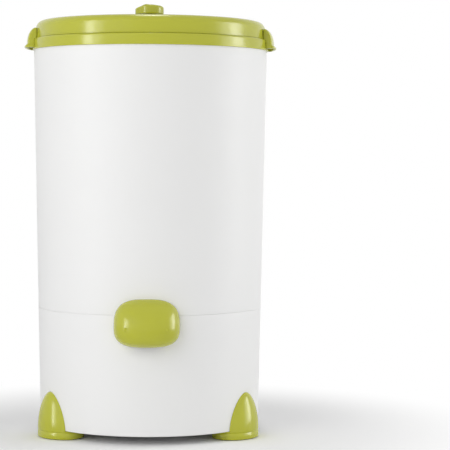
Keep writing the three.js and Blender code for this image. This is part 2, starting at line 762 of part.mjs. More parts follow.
/** A bowed channel that follows the ring. Its ends are closed and turn in. */
function handle() {
  const standZ = ringTopZ + fitGap;
  const lipInner = handleLipRadius - handleLipWall;
  const section = [
    ...[0, 0.2, 0.4, 0.6, 0.8, 1].map((share) => handleCurve(0, share)),
    [handleLipRadius, handleBottomZ + handleLipWall],
    [handleLipRadius, handleBottomZ],
    [lipInner, handleBottomZ],
    ...[1, 0.75, 0.5].map((share) => handleCurve(handleWall, share)),
    [ringRadius + fitGap, standZ + handleWall],
    [ringRadius - ringEdge, standZ],
    [handleInnerRadius, standZ],
  ];
  const still = ringRadius + fitGap; // what lies inside this radius keeps its place
  const rings = [];
  for (let i = 0; i <= handleSteps; i++) {
    const along = -1 + (2 * i) / handleSteps;
    const angle = degrees(handleHalfAngle * Math.sin((along * Math.PI) / 2));
    const shrink = handleEndShare + (1 - handleEndShare) * Math.sqrt(1 - along ** 4);
    rings.push(section.map(([radius, z]) => {
      const moved = radius > still ? still + (radius - still) * shrink : radius;
      return [moved * Math.sin(angle), -moved * Math.cos(angle), z];
    }));
  }
  let body = lofted(rings);
  // end walls that close the channel and stand against the ring
  const channel = turned([
    [ringRadius + fitGap, handleBottomZ],
    [lipInner - sunk, handleBottomZ],
    ...[1, 0.75, 0.5].map((share) => handleCurve(handleWall - sunk, share)),
    [ringRadius + fitGap, standZ + sunk],
  ]);
  for (const side of [-1, 1]) {
    const end = side * handleEndAngle;
    const slice = turnFromFront(
      box(-handleWall, handleWall, -handleLipRadius, -ringRadius, handleBottomZ, handleTopZ), end);
    body = body.add(channel.intersect(slice));
    body = body.add(turnFromFront(handleHook(0), end));
  }
  return body.subtract(wallCutter(handleBottomZ - through, handleBottomZ + through));
}

// ---------------------------------------------------------------- hood and drain pipe
/**
 * A domed cap on the wall, drawn as level sections. Its upper face slopes down to the nose, and its
 * sides and its lower face are full and round.
 */
function hoodDome(inset) {
  const up = hoodTopZ - inset - hoodNoseZ;
  const down = hoodNoseZ - hoodBottomZ - inset;
  const backY = -bodyRadius(hoodNoseZ) + hoodRoot;
  const squared = (value, power) => Math.sign(value) * Math.abs(value) ** (2 / power);
  const arched = (share, power) => (1 - Math.abs(share) ** power) ** (1 / power);
  const rings = [];
  for (let level = 0; level <= hoodLevels; level++) {
    const climb = degrees(hoodLastAngle) * ((2 * level) / hoodLevels - 1);
    const height = squared(Math.sin(climb), hoodOutlinePower);
    const z = hoodNoseZ + height * (height > 0 ? up : down);
    const halfWidth = (hoodHalfWidth - inset) * arched(height, hoodOutlinePower);
    const depth = (hoodReach - inset) * arched(height, height > 0 ? hoodTopPower : hoodLowerPower);
    const points = [];
    for (let side = 0; side <= hoodSides; side++) {
      const angle = Math.PI * (side / hoodSides - 0.5);
      const x = halfWidth * squared(Math.sin(angle), hoodSidePower);
      const wallY = -Math.sqrt(bodyRadius(z) ** 2 - x * x);
      points.push([x, wallY - depth * Math.abs(squared(Math.cos(angle), hoodSidePower)), z]);
    }
    points.push([halfWidth, backY, z], [-halfWidth, backY, z]);
    rings.push(points);
  }
  return lofted(rings);
}

function spoutHood() {
  const outer = hoodDome(0);
  const wallY = bodyRadius(drainZ);
  const slot = box(
    -hoodSlotHalfWidth, hoodSlotHalfWidth, -wallY - hoodSlotReach, -wallY + wallReach,
    hoodBottomZ - through, hoodBottomZ + hoodSlotHeight);
  let body = outer.subtract(hoodDome(hoodWall)).subtract(slot);
  body = body.subtract(wallCutter(hoodBottomZ - wallReach, hoodTopZ + wallReach));
  // hooks that hold the hood in the base shell's slots, each on a rib inside the hood
  const hookY = -wallY + baseWall + hoodHookGrip;
  for (const side of [-1, 1]) {
    const x = side * hoodHookSpacing;
    const [half, tall] = [hoodHookWidth / 2, hoodHookHeight / 2];
    const hook = box(x - half, x + half, -wallY - hoodReach, hookY, drainZ - tall, drainZ + tall);
    const inside = outer.add(
      box(x - half, x + half, -wallY, hookY, drainZ - tall, drainZ + tall));
    body = body.add(hook.intersect(inside));
  }
  return body;
}

function drainPipe() {
  const flangeTopZ = tubBottomZ - fitGap;
  const topZ = tubBottomZ + tubFloor - fitGap;
  const bendStartZ = drainZ + drainBend;
  const route = new THREE.CurvePath();
  const bendY = drainInletY - drainBend;
  const point = (y, z) => new THREE.Vector3(0, y, z);
  route.add(new THREE.LineCurve3(point(drainInletY, topZ), point(drainInletY, bendStartZ)));
  route.add(new THREE.QuadraticBezierCurve3(
    point(drainInletY, bendStartZ), point(drainInletY, drainZ), point(bendY, drainZ)));
  const endY = -bodyRadius(drainZ) - drainPastWall;
  route.add(new THREE.LineCurve3(point(bendY, drainZ), point(endY, drainZ - drainFall)));
  const pipe = swept(route, drainRadius, drainRadius - drainWall, drainSteps, drainSides);
  const flangeInner = drainRadius - drainWall / 2;
  const flange = ring(drainFlangeRadius, flangeInner, flangeTopZ - drainFlangeThickness, flangeTopZ)
    .translate([0, drainInletY, 0]);
  return pipe.add(flange);
}

// ---------------------------------------------------------------- lid
function lidShell() {
  const filletZ = lidWallTopZ;
  const centre = lidTopRadius - lidFillet;
  const arc = (radius) => {
    const points = [];
    for (let i = 1; i <= lidFilletSteps; i++) {
      const angle = (Math.PI / 2) * (i / lidFilletSteps);
      points.push([centre + radius * Math.cos(angle), filletZ + radius * Math.sin(angle)]);
    }
    return points;
  };
  const crown = (radius) => {
    const rise = lidCrownZ - (filletZ + lidFillet);
    return filletZ + lidFillet + rise * (1 - (radius / centre) ** 2);
  };
  const outerCrown = lidCrownRadii.map((radius) => [radius, crown(radius)]);
  const innerCrown = lidCrownRadii.toReversed().map((radius) => [radius, crown(radius) - lidWall]);
  const bore = shaftRadius + runGap;
  let body = turned([
    [lidRadius, lidEdgeZ],
    [lidTopRadius, filletZ],
    ...arc(lidFillet),
    ...outerCrown,
    [knobStemRadius + shaftBossWall, lidBossTopZ],
    [bore, lidBossTopZ],
    [bore, camTopZ + fitGap],
    [bore + shaftBossWall, camTopZ + fitGap],
    [bore + shaftBossWall, crown(0) - lidWall],
    ...innerCrown,
    ...arc(lidFillet - lidWall).reverse(),
    [lidTopRadius - lidWall, filletZ],
    [lidRadius - lidWall, lidEdgeZ],
  ]);
  for (let i = 0; i < lidScrewCount; i++) {
    const [x, y] = lidScrewPlace(i);
    const bossFootZ = panFloorZ + panWall + fitGap;
    const boss = disc(bossRadius, bossFootZ, crown(lidScrewCircle) - lidWall / 2);
    const hole = disc(screwRadius + fitGap, bossFootZ - through, panFloorZ + screwReach + through);
    body = body.add(boss.translate([x, y, 0])).subtract(hole.translate([x, y, 0]));
  }
  const arm = box(
    -knuckleHalfWidth, knuckleHalfWidth, lidRadius - lidWall - sunk, hingeY, lidEdgeZ,
    hingeZ + knuckleRadius - sunk);
  const knuckle = rodX(knuckleRadius, -knuckleHalfWidth, knuckleHalfWidth, hingeY, hingeZ);
  return body.add(arm).add(knuckle).subtract(hingeBore());
}

/** A pin with a head on each end, outside the ring's ears. */
function hingePin() {
  const headX = earOuterX + fitGap;
  const endX = headX + hingePinHeadThickness;
  return rodX(hingePinRadius, -endX, endX, hingeY, hingeZ)
    .add(rodX(hingePinHead, headX, endX, hingeY, hingeZ))
    .add(rodX(hingePinHead, -endX, -headX, hingeY, hingeZ));
}

function lidLiner() {
  const topZ = panFlangeZ + panWall;
  const floorTop = panFloorZ + panWall;
  let body = turned([
    [0, panFloorZ],
    [panRadius - leadIn, panFloorZ],
    [panRadius, panFloorZ + leadIn],
    [panRadius, panFlangeZ],
    [panFlangeRadius, panFlangeZ],
    [panFlangeRadius, topZ],
    [panRadius - panWall, topZ],
    [panRadius - panWall, floorTop],
    [0, floorTop],
  ], tubSides);
  for (const side of [-1, 1]) {
    const inner = side * (boltHalfWidth + fitGap);
    const [x0, x1] = [inner, inner + side * railWidth].sort((a, b) => a - b);
    const end = -panRadius + panWall + railInset;
    body = body.add(box(x0, x1, end, end + railLength, floorTop - sunk, floorTop + railHeight));
  }
  const half = boltHalfWidth + fitGap;
  body = body.subtract(box(
    -half, half, -panRadius - through, -panRadius + panWall + through,
    boltZ - fitGap, boltZ + boltHeight + fitGap));
  for (let i = 0; i < lidScrewCount; i++) {
    const [x, y] = lidScrewPlace(i);
    const hole = disc(screwRadius + fitGap, panFloorZ - through, floorTop + through);
    body = body.subtract(hole.translate([x, y, 0]));
  }
  return body;
}

const lidGasket = () =>
  ring(lidGasketOuter, lidGasketInner, ringTopZ + fitGap, panFlangeZ - fitGap, tubSides);

/** A pan-head screw, head down, under the lid's pan. */
function lidScrew() {
  const seatZ = panFloorZ - fitGap;
  const head = disc(screwHeadRadius, seatZ - screwHeadHeight, seatZ);
  return head.add(disc(screwRadius, seatZ - sunk, panFloorZ + screwReach, screwSides));
}

// ---------------------------------------------------------------- lock
/** A round body with a wedge-shaped pointer. Its upper face slopes down to the rim and to the tip. */
function lockKnob() {
  const round = turned([
    [0, lidBossTopZ + fitGap],
    [knobStemRadius, lidBossTopZ + fitGap],
    [knobStemRadius, knobBottomZ],
    [knobRadius - knobEdge, knobBottomZ],
    [knobRadius, knobBottomZ + knobEdge],
    [knobRadius, knobShoulderZ],
    [(knobRadius + knobTopRadius) / 2, (knobShoulderZ + knobTopZ) / 2 + knobEdge],
    [knobTopRadius, knobTopZ - knobEdge / 2],
    [knobTopRadius - 2 * knobEdge, knobTopZ],
    [0, knobTopZ],
  ], knobSides);
  const wedge = (taper, rootZ, tipZ) => [
    [-knobPointerRoot, -knobPointerRootHalf * taper, rootZ],
    [-knobPointerRoot, knobPointerRootHalf * taper, rootZ],
    [-knobPointerReach, knobPointerTipHalf * taper, tipZ],
    [-knobPointerReach, -knobPointerTipHalf * taper, tipZ],
  ];
  const pointer = lofted([
    wedge(1, knobBottomZ, knobBottomZ),
    wedge(knobPointerTaper, knobTopZ - knobEdge / 2, knobShoulderZ + knobEdge),
  ]);
  const socket = disc(shaftRadius + fitGap, lidBossTopZ - through, knobBottomZ + knobSocketDepth);
  return round.add(pointer).subtract(socket);
}

const knobShaft = () =>
  disc(shaftRadius, panFloorZ + panWall + fitGap, knobBottomZ + knobSocketDepth - fitGap);

/** A disc with a slot that winds outwards at a steady rate, so the bolt moves evenly with the knob. */
function lockCam() {
  const growth = boltTravel / (Math.PI / 2);
  const overrun = degrees(camOverrun);
  const half = boltPinRadius + fitGap;
  const outerEdge = [];
  const innerEdge = [];
  for (let i = 0; i <= camSteps; i++) {
    const turn = -overrun + ((Math.PI / 2 + 2 * overrun) * i) / camSteps;
    const radius = boltPinStart + growth * turn;
    const angle = -Math.PI / 2 + turn;
    const tangent = new THREE.Vector2(
      growth * Math.cos(angle) - radius * Math.sin(angle),
      growth * Math.sin(angle) + radius * Math.cos(angle)).normalize();
    const [x, y] = [radius * Math.cos(angle), radius * Math.sin(angle)];
    outerEdge.push([x + tangent.y * half, y - tangent.x * half]);
    innerEdge.push([x - tangent.y * half, y + tangent.x * half]);
  }
  const slot = raised([...outerEdge, ...innerEdge.reverse()], camZ - through, camTopZ + through);
  return ring(camRadius, shaftRadius + fitGap, camZ, camTopZ, camSides).subtract(slot);
}

function latchBolt() {
  const bar = box(-boltHalfWidth, boltHalfWidth, -boltTipRest, -boltTailReach, boltZ, boltZ + boltHeight);
  const pin = disc(boltPinRadius, boltZ + sunk, camTopZ - fitGap).translate([0, -boltPinStart, 0]);
  return bar.add(pin);
}

const switchPlunger = () =>
  rodY(plungerRadius, -plungerTipRest - plungerLength, -plungerTipRest, 0, boltAxisZ);

function lidSwitch() {
  const topZ = deckUndersideZ - fitGap;
  const body = box(
    -switchHalfWidth, switchHalfWidth, -switchFace - switchDepth, -switchFace, topZ - switchHeight, topZ);
  return body.subtract(
    rodY(plungerRadius + runGap, -switchFace - switchBoreDepth, -switchFace + through, 0, boltAxisZ));
}

// ---------------------------------------------------------------- drum
function drum() {
  let body = turned([
    [hubSpigotRadius + fitGap, drumFloorZ],
    [drumRadius - drumCorner, drumFloorZ],
    [drumRadius, drumFloorZ + drumCorner],
    [drumRadius, drumTopZ - drumCorner],
    [drumMouthRadius + drumMouthLip, drumTopZ],
    [drumMouthRadius, drumTopZ],
    [drumMouthRadius, drumTopZ - drumWall],
    [drumMouthRadius + drumMouthLip - drumWall / 4, drumTopZ - drumWall],
    [drumRadius - drumWall, drumTopZ - drumCorner - drumWall / 2],
    [drumRadius - drumWall, drumFloorZ + drumCorner + drumWall / 2],
    [drumRadius - drumCorner - drumWall / 2, drumFloorZ + drumWall],
    [hubSpigotRadius + fitGap, drumFloorZ + drumWall],
  ], tubSides);
  for (let column = 0; column < drumHoleColumns; column++) {
    const angle = (360 / drumHoleColumns) * column + 180 / tubSides;
    for (let row = 0; row < drumHoleRows; row++) {
      const z = drumFloorZ + drumHoleRise + drumHolePitch * row;
      const tool = disc(drumHoleRadius, drumRadius - wallReach, drumRadius + through, drumHoleSides)
        .rotate([0, 90, 0]);
      body = body.subtract(tool.translate([0, 0, z]).rotate([0, 0, angle]));
    }
  }
  return body;
}

function drumHub() {
  const bottom = drumFloorZ - fitGap - hubThickness;
  return turned([
    [motorShaftRadius + fitGap, bottom - hubNeckHeight],
    [hubNeckRadius, bottom - hubNeckHeight],
    [hubNeckRadius + hubFillet, bottom],
    [hubRadius, drumFloorZ - fitGap - hubRim],
    [hubRadius, drumFloorZ - fitGap],
    [hubSpigotRadius, drumFloorZ - fitGap],
    [hubSpigotRadius, drumFloorZ + drumWall],
    [motorShaftRadius + fitGap, drumFloorZ + drumWall],
  ], motorSides);
}

function drumNut() {
  const bottom = drumFloorZ + drumWall + fitGap;
  const collar = disc(nutCollarRadius, bottom, bottom + nutCollarHeight, motorSides);
  const hexagon = disc(nutRadius, bottom + sunk, bottom + nutHeight, nutSides);
  const bore = disc(motorShaftRadius + fitGap, bottom - through, bottom + nutHeight + through, motorSides);
  return collar.add(hexagon).subtract(bore);
}

const drumShaft = () => {
  const nutTopZ = drumFloorZ + drumWall + fitGap + nutHeight;
  return disc(motorShaftRadius, shaftBottomZ, nutTopZ + shaftPastNut, motorSides);
};

// ---------------------------------------------------------------- motor
const upperBellZ = plateZ - fitGap - bellHeight;
const statorTopZ = upperBellZ - fitGap;
const statorBottomZ = statorTopZ - statorLength;
const lowerBellZ = statorBottomZ - fitGap;
const upperBearingZ = plateZ + bearingSeatRise;
const lowerBearingZ = lowerBellZ - bearingSeatDrop - bearingHeight;
const bearingSeatRadius = bearingRadius + fitGap;

function motorBellUpper() {
  const top = upperBellZ + bellHeight;
  const seat = upperBearingZ - fitGap;
  const rim = motorRadius - bellRim;
  return turned([
    [rim, upperBellZ],
    [motorRadius, upperBellZ],
    [motorRadius, top],
    [bearingSeatRadius + housingWall, top],
    [bearingSeatRadius + housingWall, top + housingHeight],
    [bearingSeatRadius, top + housingHeight],
    [bearingSeatRadius, seat],
    [motorShaftRadius + bellShaftGap, seat],
    [motorShaftRadius + bellShaftGap, top - bellWall],
    [rim, top - bellWall],
  ], motorSides);
}

function motorBellLower() {
  const bottom = lowerBellZ - bellHeight;
  const seat = lowerBearingZ + bearingHeight + fitGap;
  const rim = motorRadius - bellRim;
  return turned([
    [rim, lowerBellZ],
    [rim, bottom + bellWall],
    [motorShaftRadius + bellShaftGap, bottom + bellWall],
    [motorShaftRadius + bellShaftGap, seat],
    [bearingSeatRadius, seat],
    [bearingSeatRadius, lowerBearingZ - lowerHousingDrop],
    [bearingSeatRadius + lowerHousingWall, lowerBearingZ - lowerHousingDrop],
    [bearingSeatRadius + lowerHousingWall, bottom],
    [motorRadius, bottom],
    [motorRadius, lowerBellZ],
  ], motorSides);
}

const stator = () => ring(motorRadius, statorBoreRadius, statorBottomZ, statorTopZ, motorSides);
const rotor = () => {
  const [z0, z1] = [statorBottomZ + rotorInset, statorTopZ - rotorInset];
  return ring(rotorRadius, motorShaftRadius + fitGap, z0, z1, motorSides);
};
const bearing = (z) => ring(bearingRadius, motorShaftRadius + runGap, z, z + bearingHeight, motorSides);

function motorPlate() {
  const plateTopZ = plateZ + plateThickness;
  let body = disc(plateDiscRadius, plateZ, plateTopZ, motorSides);
  for (const angle of mountAngles) {
    const arm = box(0, mountCircle, -plateArmHalfWidth, plateArmHalfWidth, plateZ, plateTopZ);
    const [x, y] = onCircle(mountCircle, angle);
    const end = disc(plateArmHalfWidth, plateZ, plateTopZ).translate([x, y, 0]);
    const hole = disc(studRadius + runGap, plateZ - through, plateTopZ + through).translate([x, y, 0]);
    body = body.add(arm.rotate([0, 0, angle])).add(end).subtract(hole);
  }
  return body.subtract(disc(plateHoleRadius, plateZ - through, plateTopZ + through, motorSides));
}

/** A rubber buffer with a threaded stud bonded in each end. */
function motorMount(angle) {
  const [x, y] = onCircle(mountCircle, angle);
  const bottom = plateZ - fitGap - mountHeight;
  const buffer = turned([
    [0, bottom],
    [mountRadius, bottom],
    [mountRadius - mountWaist, bottom + mountHeight / 2],
    [mountRadius, bottom + mountHeight],
    [0, bottom + mountHeight],
  ], smallSides);
  const stud = disc(studRadius, bottom - studReach, plateZ + plateThickness + studRise);
  return buffer.add(stud).translate([x, y, 0]);
}

/** A rubber sleeve: its rim lies on the tub's floor, and its cuff grips the motor's bearing housing. */
function shaftSeal() {
  const grip = bearingSeatRadius + housingWall + fitGap;
  const rimZ = tubBottomZ + tubFloor + fitGap;
  const neck = tubSealHoleRadius - fitGap;
  const cuffZ = upperBellZ + bellHeight + housingHeight - sealGrip;
  return turned([
    [tubSealHoleRadius + sealRim, rimZ],
    [neck, rimZ],
    [neck, tubBottomZ - sealNeckDrop],
    [neck - sealWaist, tubBottomZ - sealWaistDrop],
    [grip + sealThickness, tubBottomZ - sealThroatDrop],
    [grip + sealThickness, cuffZ],
    [grip, cuffZ],
    [grip, tubBottomZ - sealThroatDrop + sealWall],
    [neck - sealWaist - sealWall / 2, tubBottomZ - sealWaistDrop + sealWall / 2],
    [neck - sealWall, tubBottomZ - sealNeckDrop + sealWall / 2],
    [neck - sealWall, rimZ + sealRimHeight],
    [tubSealHoleRadius + sealRim, rimZ + sealRimHeight],
  ], motorSides);
}

function coolingFan() {
  let body = ring(fanHubRadius, motorShaftRadius + fitGap, fanZ, fanZ + fanHeight, motorSides);
  const half = fanBladeThickness / 2;
  for (let i = 0; i < fanBlades; i++) {
    const blade = box(fanHubRadius - sunk, fanRadius, -half, half, fanZ, fanZ + fanHeight);
    body = body.add(blade.rotate([0, 0, (360 / fanBlades) * i]));
  }
  return body;
}

// ---------------------------------------------------------------- brake
function brakeDrum() {
  return turned([
    [motorShaftRadius + fitGap, brakeZ],
    [fanHubRadius, brakeZ],
    [fanHubRadius, brakeZ + brakeHeight - brakeWeb],
    [brakeRadius - brakeRim, brakeZ + brakeHeight - brakeWeb],
    [brakeRadius - brakeRim, brakeZ],
    [brakeRadius, brakeZ],
    [brakeRadius, brakeZ + brakeHeight],
    [motorShaftRadius + fitGap, brakeZ + brakeHeight],
  ], brakeSides);
}

const liningGap = 0.5; // between the drum and the lining, as drawn
const liningOuterX = brakeRadius + liningGap + liningThickness;

function brakeLining() {
  const topZ = armZ + armHeight;
  const block = box(
    brakeRadius - liningThickness, liningOuterX, -liningHalfLength, liningHalfLength, armZ, topZ);
  return block.subtract(disc(brakeRadius + liningGap, armZ - through, topZ + through, brakeSides));
}

function brakeArm() {
  const x0 = liningOuterX + fitGap;
  const topZ = armZ + armHeight;
  const bar = box(x0, x0 + armThickness, armEndY, liningHalfLength + armPastLining, armZ, topZ);
  const eye = disc(armEyeRadius, armZ, topZ).translate([pivotX, pivotY, 0]);
  const bore = disc(pivotRadius + runGap, armZ - through, topZ + through).translate([pivotX, pivotY, 0]);
  return bar.add(eye).subtract(bore);
}

const brakePivot = () =>
  disc(pivotRadius, floorTopZ + fitGap, pivotTopZ)
    .add(disc(pivotRadius + pivotFoot, floorTopZ + fitGap, armZ - fitGap))
    .translate([pivotX, pivotY, 0]);

/** The torsion spring round the pivot, one open helix of round wire. */
function brakeSpring() {
  class Helix extends THREE.Curve {
    getPoint(t) {
      const angle = 2 * Math.PI * springTurns * t;
      const rise = springPitch * springTurns * t;
      return new THREE.Vector3(
        pivotX + springRadius * Math.cos(angle), pivotY + springRadius * Math.sin(angle),
        armZ + armHeight + fitGap + springWire + rise);
    }
  }
  return swept(new Helix(), springWire, 0, Math.round(springTurns * springStepsPerTurn), springSides);
}

function brakeCable() {
  const route = new THREE.CatmullRomCurve3(cableRoute.map(([x, y, z]) => new THREE.Vector3(x, y, z)));
  return swept(route, cableRadius, 0, cableSteps, cableSides);
}

// ---------------------------------------------------------------- small parts in the base
const capacitorTopZ = floorTopZ + capacitorHeight;
const capacitor = () =>
  disc(capacitorRadius, floorTopZ + fitGap, capacitorTopZ, motorSides)
    .add(disc(terminalRadius, capacitorTopZ - sunk, capacitorTopZ + terminalHeight))
    .translate([capacitorX, capacitorY, 0]);

function capacitorClip() {
  const inner = capacitorRadius + fitGap;
  const band = ring(inner + clipWall, inner, clipZ, clipZ + clipHeight, motorSides);
  const leg = box(
    inner, inner + clipWall, -clipLegWidth / 2, clipLegWidth / 2, floorTopZ + fitGap, clipZ + clipHeight);
  const footZ = floorTopZ + fitGap;
  const foot = box(
    inner, inner + clipFootReach, -clipLegWidth / 2, clipLegWidth / 2, footZ, footZ + clipWall);
  return band.add(leg).add(foot).rotate([0, 0, clipTurn]).translate([capacitorX, capacitorY, 0]);
}

function cordGland() {
  const wallY = bodyRadius(glandZ);
  const barrel = rodY(glandRadius, wallY - glandReach, wallY + fitGap + sunk, 0, glandZ);
  const flange = rodY(glandFlangeRadius, wallY + fitGap, wallY + fitGap + glandFlangeThickness, 0, glandZ);
  return barrel.add(flange).subtract(
    rodY(glandBore, wallY - glandReach - through, wallY + wallReach, 0, glandZ, screwSides));
}

function bottomGrille() {
  const grilleTopZ = floorTopZ + fitGap + grilleThickness;
  let body = disc(grilleRadius, floorTopZ + fitGap, grilleTopZ, grilleSides);
  for (let i = 0; i < grilleSlots; i++) {
    const slot = box(
      grilleSlotInner, grilleSlotOuter, -grilleSlotWidth / 2, grilleSlotWidth / 2,
      floorTopZ - through, grilleTopZ + through);
    body = body.subtract(slot.rotate([0, 0, (360 / grilleSlots) * i]));
  }
  return body;
}

// ---------------------------------------------------------------- feet
/** The foot's plan at the front: an ellipse about the foot's centre, drawn in towards the wall. */
function footPlan(scale, z, inset = 0) {
  const wall = -bodyRadius(lugStartZ);
  const points = [];
  for (let i = 0; i < footSides; i++) {
    const angle = (2 * Math.PI * i) / footSides;
    const x = (footTangential - inset) * Math.cos(angle);
    const y = -footCentre + (footRadial - inset) * Math.sin(angle);
    points.push([x * scale, wall + (y - wall) * scale, z]);
  }
  return points;
}

/** A pad under the base with a bullet-shaped lug that rises outside the wall. */
function foot() {
  const rings = [footPlan(1, footUndersideZ), footPlan(1, lugStartZ)];
  for (let i = 1; i < lugSteps; i++) {
    const share = Math.sin(((Math.PI / 2) * i) / lugSteps);
    const z = lugStartZ + (lugTopZ - lugStartZ) * share;
    rings.push(footPlan((1 - share ** lugPower) ** 0.5, z));
  }
  rings.push(footPlan(lugTip, lugTopZ));
  const seatZ = baseZ - fitGap;
  let body = lofted(rings).subtract(wallCutter(seatZ, lugTopZ + through));
  const recess = lofted([
    footPlan(1, footUndersideZ - through, soleInset - fitGap),
    footPlan(1, footUndersideZ + soleRecess, soleInset - fitGap),
  ]);
  body = body.subtract(recess);
  const place = (tool) => tool.translate([0, -footScrewCircle, 0]);
  const headTopZ = footScrewHeadZ + screwHeadHeight;
  const counterbore = disc(screwHeadRadius + 2 * fitGap, footUndersideZ, headTopZ + fitGap);
  const hole = disc(screwRadius + fitGap, footUndersideZ, seatZ + through);
  return body.subtract(place(counterbore)).subtract(place(hole));
}

function sole() {
  const body = lofted([footPlan(1, 0, soleInset), footPlan(1, soleThickness, soleInset)]);
  const access = disc(soleAccessRadius, -through, soleThickness + through);
  return body.subtract(access.translate([0, -footScrewCircle, 0]));
}

function footScrew() {
  const head = disc(screwHeadRadius, footScrewHeadZ, footScrewHeadZ + screwHeadHeight, screwSides);
  const shank = disc(screwRadius, footScrewHeadZ + sunk, footScrewHeadZ + footScrewLength, screwSides);
  return head.add(shank).translate([0, -footScrewCircle, 0]);
}

// ---------------------------------------------------------------- the assembly
piece('base_shell', baseShell(), whitePlastic());
piece('upper_cabinet', upperCabinet(), whitePlastic());
piece('top_ring', topRing(), greenPlastic());
piece('handle_left', handle(), greenPlastic(), -90);
piece('handle_right', handle(), greenPlastic(), 90);
piece('spout_hood', spoutHood(), greenPlastic());
piece('drain_pipe', drainPipe(), greyPlastic());
piece('inner_tub', innerTub(), greyPlastic());
piece('splash_collar', splashCollar(), whitePlastic());
piece('tub_gasket', tubGasket(), rubber());
piece('hinge_pin', hingePin(), steel());

for (const [side, angle] of Object.entries(footAngles)) {
  piece(`foot_${side}`, foot(), greenPlastic(), angle);
  piece(`sole_${side}`, sole(), rubber(), angle);
  piece(`foot_screw_${side}`, footScrew(), steel(), angle);
}

piece('bottom_grille', bottomGrille(), blackPlastic());
piece('motor_plate', motorPlate(), steel());
mountAngles.forEach((angle, i) => piece(`motor_mount_${i + 1}`, motorMount(angle), rubber()));
piece('motor_bell_upper', motorBellUpper(), castMetal());
piece('motor_bell_lower', motorBellLower(), castMetal());
piece('stator', stator(), darkIron());
piece('bearing_upper', bearing(upperBearingZ), steel());
piece('bearing_lower', bearing(lowerBearingZ), steel());
piece('shaft_seal', shaftSeal(), rubber());
piece('capacitor', capacitor(), greyPlastic());
piece('capacitor_clip', capacitorClip(), steel());
piece('lid_switch', lidSwitch(), blackPlastic());
piece('brake_cable', brakeCable(), blackPlastic());
piece('brake_pivot', brakePivot(), steel());
piece('brake_spring', brakeSpring(), steel());
piece('cord_gland', cordGland(), blackPlastic());

piece('lid_shell', lidShell(), greenPlastic());
piece('lid_liner', lidLiner(), whitePlastic());
piece('lid_gasket', lidGasket(), rubber());
for (let i = 0; i < lidScrewCount; i++) {
  const [x, y] = lidScrewPlace(i);
  piece(`lid_screw_${i + 1}`, lidScrew().translate([x, y, 0]), steel());
}

piece('lock_knob', lockKnob(), greenPlastic());
piece('knob_shaft', knobShaft(), steel());
piece('lock_cam', lockCam(), blackPlastic());
piece('latch_bolt', latchBolt(), steel());
piece('switch_plunger', switchPlunger(), blackPlastic());
piece('brake_arm', brakeArm(), steel());
piece('brake_lining', brakeLining(), frictionPad());

piece('drum', drum(), steel());
piece('drum_hub', drumHub(), castMetal());
piece('drum_nut', drumNut(), steel());
piece('drum_shaft', drumShaft(), steel());
piece('rotor', rotor(), darkIron());
piece('brake_drum', brakeDrum(), castMetal());
piece('cooling_fan', coolingFan(), blackPlastic());

export default root;
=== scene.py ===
# The looks of a laundry spin dryer, in metres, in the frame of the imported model. The file follows the
# machine as it is put together: after the camera and the studio come the base, the motor and its brake,
# the cabinet, the ring, the tub, the drum, the handles, the outlet hood, the lid and the lock.

import math

import bmesh
import bpy
from mathutils import Matrix, Vector


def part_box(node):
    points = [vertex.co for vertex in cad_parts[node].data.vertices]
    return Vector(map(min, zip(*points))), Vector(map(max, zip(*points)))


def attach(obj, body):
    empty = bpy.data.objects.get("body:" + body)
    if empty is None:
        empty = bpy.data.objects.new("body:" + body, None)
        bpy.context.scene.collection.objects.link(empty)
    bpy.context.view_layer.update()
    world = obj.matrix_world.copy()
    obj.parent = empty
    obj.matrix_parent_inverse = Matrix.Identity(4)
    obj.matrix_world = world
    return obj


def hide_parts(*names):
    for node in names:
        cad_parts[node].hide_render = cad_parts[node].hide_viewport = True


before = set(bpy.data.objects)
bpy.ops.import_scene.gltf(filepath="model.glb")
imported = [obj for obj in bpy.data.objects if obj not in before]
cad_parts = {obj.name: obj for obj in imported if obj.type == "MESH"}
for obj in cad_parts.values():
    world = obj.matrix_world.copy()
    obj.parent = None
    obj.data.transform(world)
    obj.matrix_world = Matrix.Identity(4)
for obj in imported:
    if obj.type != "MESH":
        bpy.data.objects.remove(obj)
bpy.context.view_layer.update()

# ---------------------------------------------------------------- camera
# A long lens stands nearly level with the lid, a little to the right of the machine's front. It aims
# past the machine, which fills the left part of the picture.
lens_mm = 141
camera_distance = 2.779
camera_azimuth = math.radians(1.5)
camera_height = 0.436
camera_yaw = math.radians(0.933)
camera_pitch = math.radians(2.321)
camera_roll = math.radians(0.293)

camera = bpy.data.objects.new("camera", bpy.data.cameras.new("camera"))
camera.data.lens = lens_mm
camera.data.sensor_width = 36
camera_place = Vector((
    camera_distance * math.sin(camera_azimuth), -camera_distance * math.cos(camera_azimuth), camera_height))
camera.matrix_world = (
    Matrix.Translation(camera_place)
    @ Matrix.Rotation(-camera_yaw, 4, "Z")
    @ Matrix.Rotation(math.pi / 2 - camera_pitch, 4, "X")
    @ Matrix.Rotation(camera_roll, 4, "Z"))
bpy.context.scene.collection.objects.link(camera)
bpy.context.scene.camera = camera
bpy.context.scene.view_settings.view_transform = "Standard"

# ---------------------------------------------------------------- studio
# A white sweep with an even, pale surround. Tall soft panels at both sides and one overhead draw the bands
# of gloss. A broad key light from the left, a fill from the right and a low one model the round walls.
surround_level = 0.56
panel_distance = 2.2
aim_height = 0.38


def node_of(tree, kind, **values):
    """A node of a tree, with values for its named inputs and for its own settings."""
    node = tree.nodes.new(kind)
    for name, value in values.items():
        socket = node.inputs.get(name.replace("_", " ").title())
        if socket is not None:
            socket.default_value = value
        else:
            setattr(node, name, value)
    return node


def join(tree, *pairs):
    """Links each source in a tree to its socket."""
    for source, socket in pairs:
        tree.links.new(source, socket)


